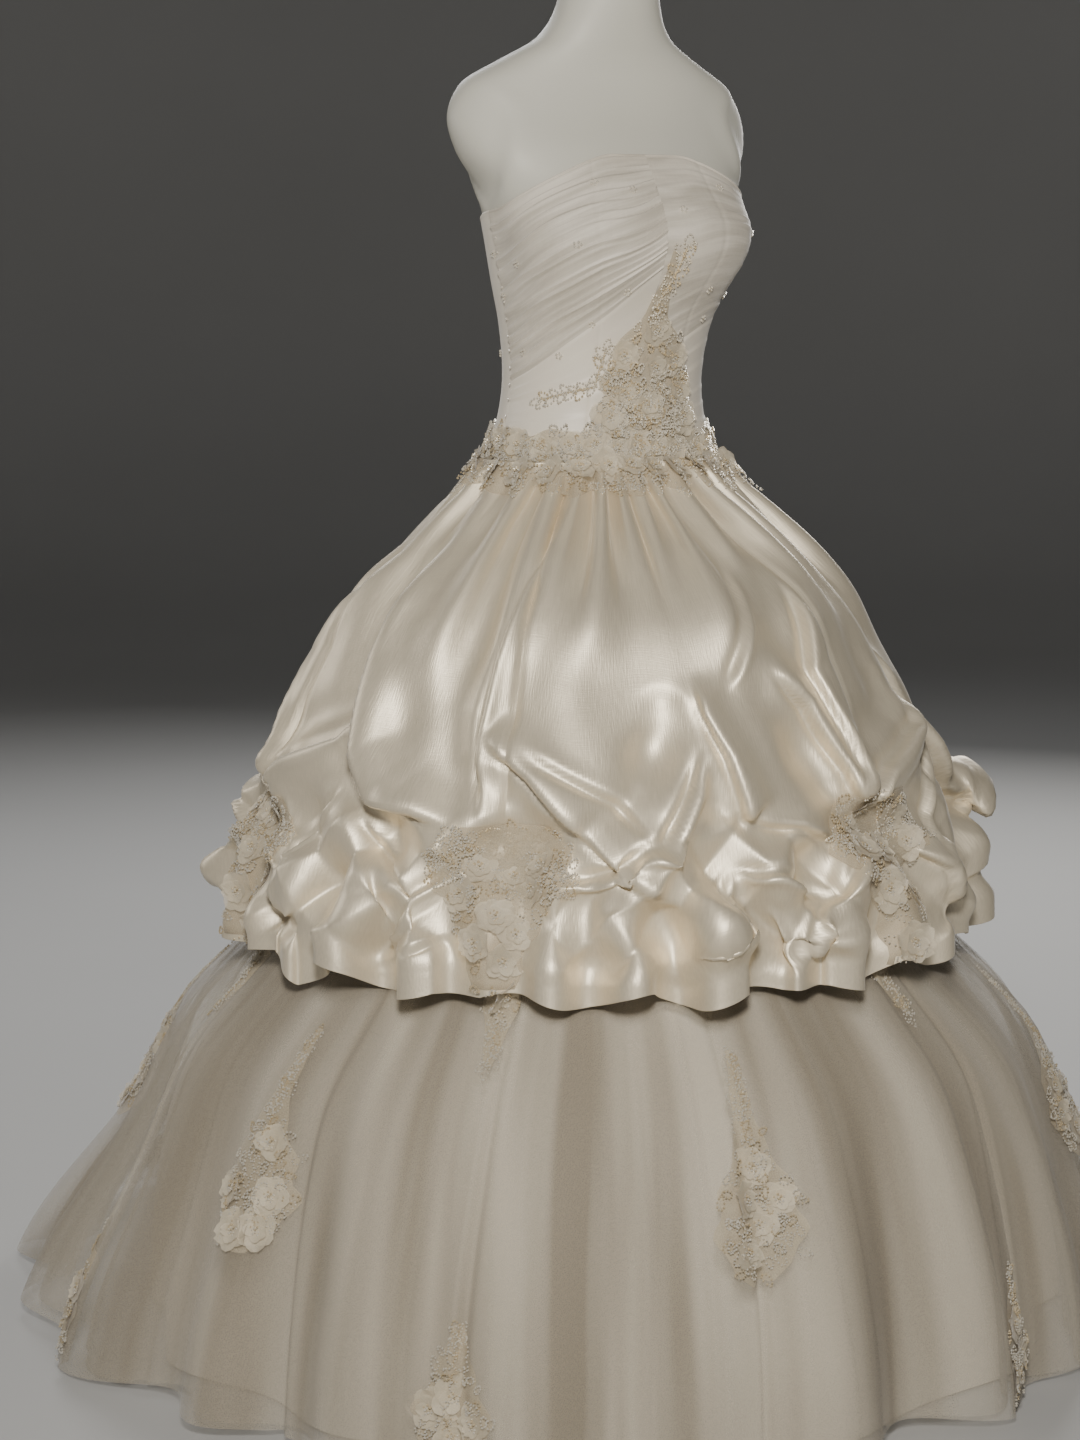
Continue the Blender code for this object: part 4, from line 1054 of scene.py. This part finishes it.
class Spray:
    """Petals, lace and beads of one sewn-on spray, drawn flat in metres and laid on the gown."""

    def __init__(self, seed, middle, foot, radius):
        """The flat spray's zero point lies at this azimuth and height, where the gown has this radius."""
        self.dice = np.random.default_rng(seed)
        self.middle = middle
        self.foot = foot
        self.radius = radius
        self.points = []
        self.faces = []
        self.kinds = []
        self.count = 0
        self.hearts = []

    def spot(self, across, up):
        """The point of the gown behind this place of the flat spray, or just beside it where a seam opens."""
        for aside in SEAM_STEPS:
            azimuth = self.middle + math.degrees((across + aside) / self.radius)
            outside = Vector(place(azimuth, 1.2, self.foot + up + aside))
            found = gown.ray_cast(outside, Vector((-outside.x, -outside.y, 0.0)).normalized())[0]
            if found:
                return found

    def seat(self, across, up, reach=0.009):
        """The gown's point there, and its directions sideways, up and out, evened out over small creases."""
        left, right = self.spot(across - reach, up), self.spot(across + reach, up)
        low, high = self.spot(across, up - reach), self.spot(across, up + reach)
        sideways = (right - left).normalized()
        outward = sideways.cross(high - low).normalized()
        middle = (left + right + low + high) / 4
        gown_points = (left, right, low, high, self.spot(across, up))
        proud = max((point - middle).dot(outward) for point in gown_points)
        return middle + outward * proud, np.array([sideways, outward.cross(sideways), outward])

    def put(self, points, faces, kind):
        self.points.append(points)
        self.faces.append(faces + self.count)
        self.kinds += [kind] * len(faces)
        self.count += len(points)

    def put_grid(self, grid, kind):
        index = np.arange(grid[..., 0].size).reshape(grid.shape[:2])
        self.put(grid.reshape(-1, 3), grid_faces(index).reshape(-1, 4), kind)

    def bead(self, across, up, size=BEAD, kind=SILVER, stand=0.0):
        centre = np.array(self.spot(across, up))
        centre += outwards(centre) * (0.8 * size + stand)
        self.put(centre + CUT_BEAD_POINTS * size, CUT_BEAD_FACES, kind)

    def leaf(self, across, up, angle, size=1.0):
        """A loop of beads, pointed at its end. The angle is its direction, in radians from upwards."""
        kind = GOLD if self.dice.random() < GOLD_SHARE else SILVER
        on_flower = any(math.hypot(across - x, up - y) < radius for x, y, radius in self.hearts)
        stand = LEAF_STAND_ON_FLOWER if on_flower else LEAF_STAND
        for number in range(LEAF_BEADS):
            turn = 2 * math.pi * (number + 0.5) / LEAF_BEADS
            along = size * LEAF_LENGTH * (0.5 - 0.5 * math.cos(turn))
            aside = size * LEAF_HALF * math.sin(turn) * (1.35 - 0.7 * along / (size * LEAF_LENGTH))
            x = across + aside * math.cos(angle) - along * math.sin(angle)
            y = up + aside * math.sin(angle) + along * math.cos(angle)
            self.bead(x, y, BEAD * self.dice.uniform(0.85, 1.15), kind, stand)

    def vine(self, path, leaves=2.4):
        """A stem of beads along a path, with so many leaves in a leaf's length, on either side in turn."""
        side = 1
        for (x0, y0), (x1, y1) in zip(path, path[1:]):
            length = math.hypot(x1 - x0, y1 - y0)
            heading = math.atan2(x0 - x1, y1 - y0)
            for step in range(max(1, round(length / VINE_STEP))):
                share = step * VINE_STEP / length
                self.bead(x0 + share * (x1 - x0), y0 + share * (y1 - y0), BEAD * 1.1, GOLD, 0.0010)
            for step in range(max(1, round(leaves * length / LEAF_LENGTH))):
                share = (step + self.dice.uniform(0.2, 0.8)) * LEAF_LENGTH / leaves / length
                angle = heading + side * self.dice.uniform(0.5, 1.1)
                self.leaf(x0 + share * (x1 - x0), y0 + share * (y1 - y0), angle, self.dice.uniform(0.75, 1.1))
                side = -side
        self.leaf(*path[-1], math.atan2(path[-2][0] - path[-1][0], path[-1][1] - path[-2][1]))

    def petal(self, seat, angle, length, tilt, start):
        """One petal, narrow where it is gathered in and round at its end, with a soft frill."""
        aside, along = np.meshgrid(np.linspace(-1, 1, PETAL_COLUMNS), np.linspace(0.06, 0.97, PETAL_ROWS))
        half = PETAL_HALF * length * np.sqrt(np.sin(np.pi * along**0.85))
        x = half * aside
        y = length * along
        frill = PETAL_FRILL * length * along**2 * np.sin(2.6 * aside + self.dice.uniform(0, 6.28))
        z = start + length * tilt * along**1.3 + PETAL_CUP * length * aside**2 * along + frill
        around = x * math.cos(angle) - y * math.sin(angle), x * math.sin(angle) + y * math.cos(angle)
        middle, directions = seat
        self.put_grid(np.array(middle) + np.stack([*around, z], -1) @ directions, PETAL)

    def flower(self, across, up, radius):
        seat = self.seat(across, up)
        self.hearts.append((across, up, radius))
        first = self.dice.uniform(0, 6.28)
        for count, turn, uneven, short, long, tilt, foot, second in PETAL_RINGS:
            for number in range(count):
                angle = first + turn + 2 * math.pi * (number + self.dice.uniform(-uneven, uneven)) / count
                length = radius * self.dice.uniform(short, long)
                self.petal(seat, angle, length, tilt, foot + second * (number % 2))
        middle, directions = seat
        for number in range(HEART_BEADS):
            angle, out = 2.4 * number, 1.15 * CRYSTAL * math.sqrt(number)
            local = np.array((out * math.cos(angle), out * math.sin(angle), 0.0068 - 0.25 * out))
            size = CRYSTAL * self.dice.uniform(0.55, 1.0)
            kind = SILVER if number % 3 else GOLD
            self.put(np.array(middle) + local @ directions + BEAD_POINTS * size, BEAD_FACES, kind)

    def ground(self, half_width, rise, rows, columns, lobes):
        """The lace ground, its scalloped edges following half_width(up), laid over the gown's creases."""
        ups = np.linspace(0.0, rise, rows)
        grid = np.empty((rows, columns, 3))
        for row, up in enumerate(ups):
            half = half_width(up) * (1 + 0.10 * math.sin(lobes * up)) - 0.002
            for column, share in enumerate(np.linspace(-1, 1, columns)):
                grid[row, column] = self.spot(share * half, up)
        out = np.hypot(grid[..., 0], grid[..., 1])
        even = out.copy()
        for _ in range(GROUND_EVENINGS):
            even[1:-1, 1:-1] = (even[:-2, 1:-1] + even[2:, 1:-1] + even[1:-1, :-2] + even[1:-1, 2:]) / 4
        grid[..., :2] *= ((np.maximum(out, even) + GROUND_LIFT) / out)[..., None]
        self.put_grid(grid, GROUND)

    def scatter(self, half_width, low, high, count, margin, apart):
        """Places spread evenly but not regularly inside the outline, clear of the flowers that are there."""
        found = []
        for _ in range(count):
            best, choice = -1.0, None
            for _ in range(SCATTER_TRIES):
                up = self.dice.uniform(low, high)
                half = max(half_width(up) - margin, 0.0)
                across = self.dice.uniform(-half, half)
                near = [math.hypot(across - x, up - y) - apart * r for x, y, r in self.hearts]
                near += [math.hypot(across - x, up - y) for x, y in found]
                reach = min(near, default=1.0) + 0.25 * half
                if reach > best:
                    best, choice = reach, (across, up)
            found.append(choice)
        return found

    def sew_on(self, node, stands_for_it=True):
        """Makes the mesh, which stands for the solid of this name, or is small trim beside it."""
        faces = [corners for group in self.faces for corners in group.tolist()]
        mesh = bpy.data.meshes.new(node)
        mesh.from_pydata(np.concatenate(self.points).tolist(), [], faces)
        for material in (lace_ground, petal_organza, silver_beads, gold_beads):
            mesh.materials.append(material)
        mesh.polygons.foreach_set("material_index", self.kinds)
        mesh.polygons.foreach_set("use_smooth", [kind in (GROUND, PETAL) for kind in self.kinds])
        fit(in_scene(node + "_flowers", mesh), "beaded_lace", *([node] if stands_for_it else []))


lace_ground, shader, spot = new_finish("lace_ground", Roughness=0.75, Sheen_Weight=0.2)
mesh_holes = spot.stretched((900.0, 900.0, 900.0)).noise(1.0, 1.0)
feed(shader, Base_Color=spot.noise(60.0).between(*GROUND_COLOURS), Alpha=mesh_holes * 0.6 + 0.24)
petal_organza, shader, spot = new_finish(
    "petal_organza", Roughness=0.55, Sheen_Weight=0.4, Sheen_Roughness=0.35
)
ribs = spot.stretched((1500.0, 1500.0, 1500.0)).noise(1.0, 1.0)
feed(shader, Base_Color=spot.noise(22.0, 1.0).between(*PETAL_COLOURS), Normal=ribs.raised(0.3, 0.0004))
feed(shader, Alpha=ribs * 0.34 + 0.40)
silver_beads, shader, spot = new_finish("silver_beads", Roughness=0.12, Metallic=0.5)
feed(shader, Base_Color=spot.noise(380.0, 0.0).between(*SILVER_COLOURS))
gold_beads, shader, spot = new_finish("gold_beads", Roughness=0.2, Metallic=0.6)
feed(shader, Base_Color=spot.noise(380.0, 0.0).between(*GOLD_COLOURS))

# Outlines of the three kinds of spray: how far up, half width
PICKUP_SPRAY = ((0.0, 0.005), (0.045, 0.018), (0.095, 0.026), (0.140, 0.044), (0.185, 0.072), (0.225, 0.046))
MIDDLE_SPRAY = ((0.0, 0.014), (0.035, 0.044), (0.085, 0.040), (0.130, 0.018), (0.200, 0.006))
LOW_SPRAY = ((0.0, 0.030), (0.035, 0.044), (0.065, 0.032), (0.125, 0.005))
GROUND_GRID = (26, 11)
GROUND_LOBES = 160.0
SPRAYS = {
    # outline, flowers, where they start and end, their radius, leaves, first and last height of the vine
    "pickup": (PICKUP_SPRAY, 10, 0.050, 0.212, 0.0220, 160, 0.075, 0.002),
    "middle": (MIDDLE_SPRAY, 5, 0.016, 0.104, 0.0210, 66, 0.090, 0.192),
    "low": (LOW_SPRAY, 4, 0.018, 0.072, 0.0210, 44, 0.060, 0.118),
}
PICKUP_SPRAY_DROP = 0.188
MIDDLE_SPRAY_FOOT = 0.180
LOW_SPRAY_FOOT = 0.018


def sew_spray(kind, name, azimuth, foot, seed):
    outline, flowers, low, high, radius, leaves, vine_start, vine_end = SPRAYS[kind]
    spray = Spray(seed, azimuth, foot, skirt_radius(NET_OUTLINE, azimuth, foot + 0.08))
    rise = outline[-1][0]

    def half_width(up):
        return float(curve(outline, 1, up))

    spray.ground(half_width, rise, *GROUND_GRID, GROUND_LOBES)
    for across, up in spray.scatter(half_width, low, high, flowers, 0.7 * radius, 0.0):
        spray.flower(across, up, radius * spray.dice.uniform(0.85, 1.12))
    for across, up in spray.scatter(half_width, 0.004, rise - 0.004, leaves, LEAF_MARGIN, LEAF_CLEARANCE):
        spray.leaf(across, up, spray.dice.uniform(0, 6.28), spray.dice.uniform(0.75, 1.1))
    bow = spray.dice.uniform(-0.006, 0.006)
    heights = np.linspace(vine_start, vine_end, 5)
    spray.vine([(bow * math.sin(2.4 * number), float(up)) for number, up in enumerate(heights)])
    spray.sew_on(f"applique_{kind}_{name}")


for number, (name, azimuth, height, _, _) in enumerate(PICKUPS):
    after = gore_starts[number + 1]
    sew_spray("pickup", name, azimuth, height - PICKUP_SPRAY_DROP, 20 + number)
    sew_spray("middle", name, (azimuth + after) / 2, MIDDLE_SPRAY_FOOT, 30 + number)
    sew_spray("low", name, azimuth, LOW_SPRAY_FOOT, 40 + number)

GARLAND_FOOT = 0.900
GARLAND_RISE = 0.066
GARLAND_FLOWERS = 26
GARLAND_LEAVES = 300
GARLAND_RADIUS = 0.0190
GARLAND_GRID = (97, 9)
WAIST_RADIUS = 0.130
for node, azimuth, seed in (("waist_garland_front", 0.0, 51), ("waist_garland_back", 180.0, 52)):
    spray = Spray(seed, azimuth, GARLAND_FOOT, WAIST_RADIUS)
    length = math.pi * WAIST_RADIUS
    columns, rows = GARLAND_GRID
    grid = []
    for up in np.linspace(0.002, GARLAND_RISE - 0.006, rows):
        for across in np.linspace(-length / 2, length / 2, columns):
            grid.append(spray.spot(across, up + 0.005 * math.sin(95.0 * across + seed)))
    grid = np.array(grid).reshape(rows, columns, 3)
    spray.put_grid(grid + outwards(grid) * GROUND_LIFT, GROUND)
    for number in range(GARLAND_FLOWERS):
        across = length * ((number + 0.5) / GARLAND_FLOWERS - 0.5)
        up = GARLAND_RISE * (0.34 if number % 2 else 0.68) + spray.dice.uniform(-0.005, 0.005)
        spray.flower(across, up, GARLAND_RADIUS * spray.dice.uniform(0.85, 1.15))
    for number in range(GARLAND_LEAVES):
        across = length * ((number + spray.dice.random()) / GARLAND_LEAVES - 0.5)
        up = GARLAND_RISE * spray.dice.uniform(0.02, 0.98)
        spray.leaf(across, up, spray.dice.uniform(0, 6.28), spray.dice.uniform(0.75, 1.1))
    spray.sew_on(node)

SPIKE_TURN = 4.0
SPIKE_RADIUS = 0.100
SPIKE_RISE = 0.185
SPIKE_GRID = (30, 13)
SPIKE_LOBES = 150.0
SPIKE_FLOWERS = 9
SPIKE_FLOWER_RADIUS = 0.0195
SPIKE_LEAVES = 130
SPIKE_FOOT = 0.962
SPIKE_OUTLINE = (
    (0.000, 0.062),
    (0.043, 0.056),
    (0.073, 0.046),
    (0.098, 0.032),
    (0.123, 0.014),
    (0.153, 0.007),
    (0.196, 0.003),
)
SPIKE_STEM = ((0.004, 0.100), (-0.002, 0.130), (0.004, 0.156), (0.008, 0.190))
SPIKE_BRANCH = ((-0.020, 0.050), (-0.055, 0.066), (-0.062, 0.046), (-0.090, 0.040), (-0.115, 0.032))
SPIKE_SPRIG = ((-0.055, 0.066), (-0.050, 0.084))
spray = Spray(61, SPIKE_TURN, SPIKE_FOOT, SPIKE_RADIUS)


def spike_half(up):
    return float(curve(SPIKE_OUTLINE, 1, up))


spray.ground(spike_half, SPIKE_RISE, *SPIKE_GRID, SPIKE_LOBES)
for across, up in spray.scatter(spike_half, 0.012, 0.108, SPIKE_FLOWERS, 0.012, 0.0):
    spray.flower(across, up, SPIKE_FLOWER_RADIUS * spray.dice.uniform(0.8, 1.15))
for across, up in spray.scatter(spike_half, 0.004, 0.150, SPIKE_LEAVES, LEAF_MARGIN, LEAF_CLEARANCE):
    spray.leaf(across, up, spray.dice.uniform(0, 6.28), spray.dice.uniform(0.7, 1.0))
for stem in (SPIKE_STEM, SPIKE_BRANCH, SPIKE_SPRIG):
    spray.vine(stem)
spray.sew_on("front_spike")


# Bodice trim
# Satin piping in each side seam, with a row of small beads down it, and crystals in little clusters sewn
# through the organza.
PIPING = 0.0013
PIPING_ROWS = 90
PIPING_SIDES = 8
PIPING_BEADS = 12
CLUSTERS = 46
CLUSTER_BEADS = 5
CLUSTER_REACH = 0.0027
CLUSTER_BEAD = 0.0014
CLUSTER_BAND = (1.035, 1.222)
CLUSTER_HALF_WIDTH = 0.155
SIDE_RADIUS = 0.110
ring = np.linspace(0.0, 2 * np.pi, PIPING_SIDES + 1)[:-1, None]
for side, name in ((-1, "right"), (1, "left")):
    heights = np.linspace(WAIST_SEAM + 0.03, neckline(BODICE_SEAMS[2][2]) - 0.001, PIPING_ROWS)
    azimuths = side * curve(BODICE_SEAMS, 2, heights)
    middle = curve(FORM_SECTIONS, 1, heights)
    seam = place(azimuths, form_radius(azimuths, heights) + BODICE_LIFT + 0.0004, heights, middle)
    outward = place(azimuths, 1.0, 0.0)
    sideways = place(azimuths + 90.0, 1.0, 0.0)
    tube = seam[:, None] + PIPING * (outward[:, None] * np.cos(ring) + sideways[:, None] * np.sin(ring))
    piping = cloth(f"side_piping_{name}", tube, bodice_satin, around=True, cut=(0.008, 0.25))
    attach(piping, "root")
    trim = Spray(70 + side, 90.0 * side, 0.0, SIDE_RADIUS)
    for step in range(PIPING_BEADS):
        index = round(6 + 80 * step / PIPING_BEADS)
        out = seam[index] + outward[index] * (PIPING + 0.6 * CRYSTAL)
        trim.put(out + BEAD_POINTS * CRYSTAL * 0.8, BEAD_FACES, SILVER)
    for across, height in trim.scatter(lambda up: CLUSTER_HALF_WIDTH, *CLUSTER_BAND, CLUSTERS // 2, 0.0, 0.0):
        azimuth = 90.0 * side + math.degrees(across / SIDE_RADIUS)
        if height > neckline(azimuth) - 0.012:
            continue
        for number in range(CLUSTER_BEADS):
            turn = 2 * math.pi * number / CLUSTER_BEADS
            x = across + CLUSTER_REACH * math.cos(turn)
            trim.bead(x, height + CLUSTER_REACH * math.sin(turn), CLUSTER_BEAD, SILVER)
    trim.sew_on(f"crystals_{name}", False)
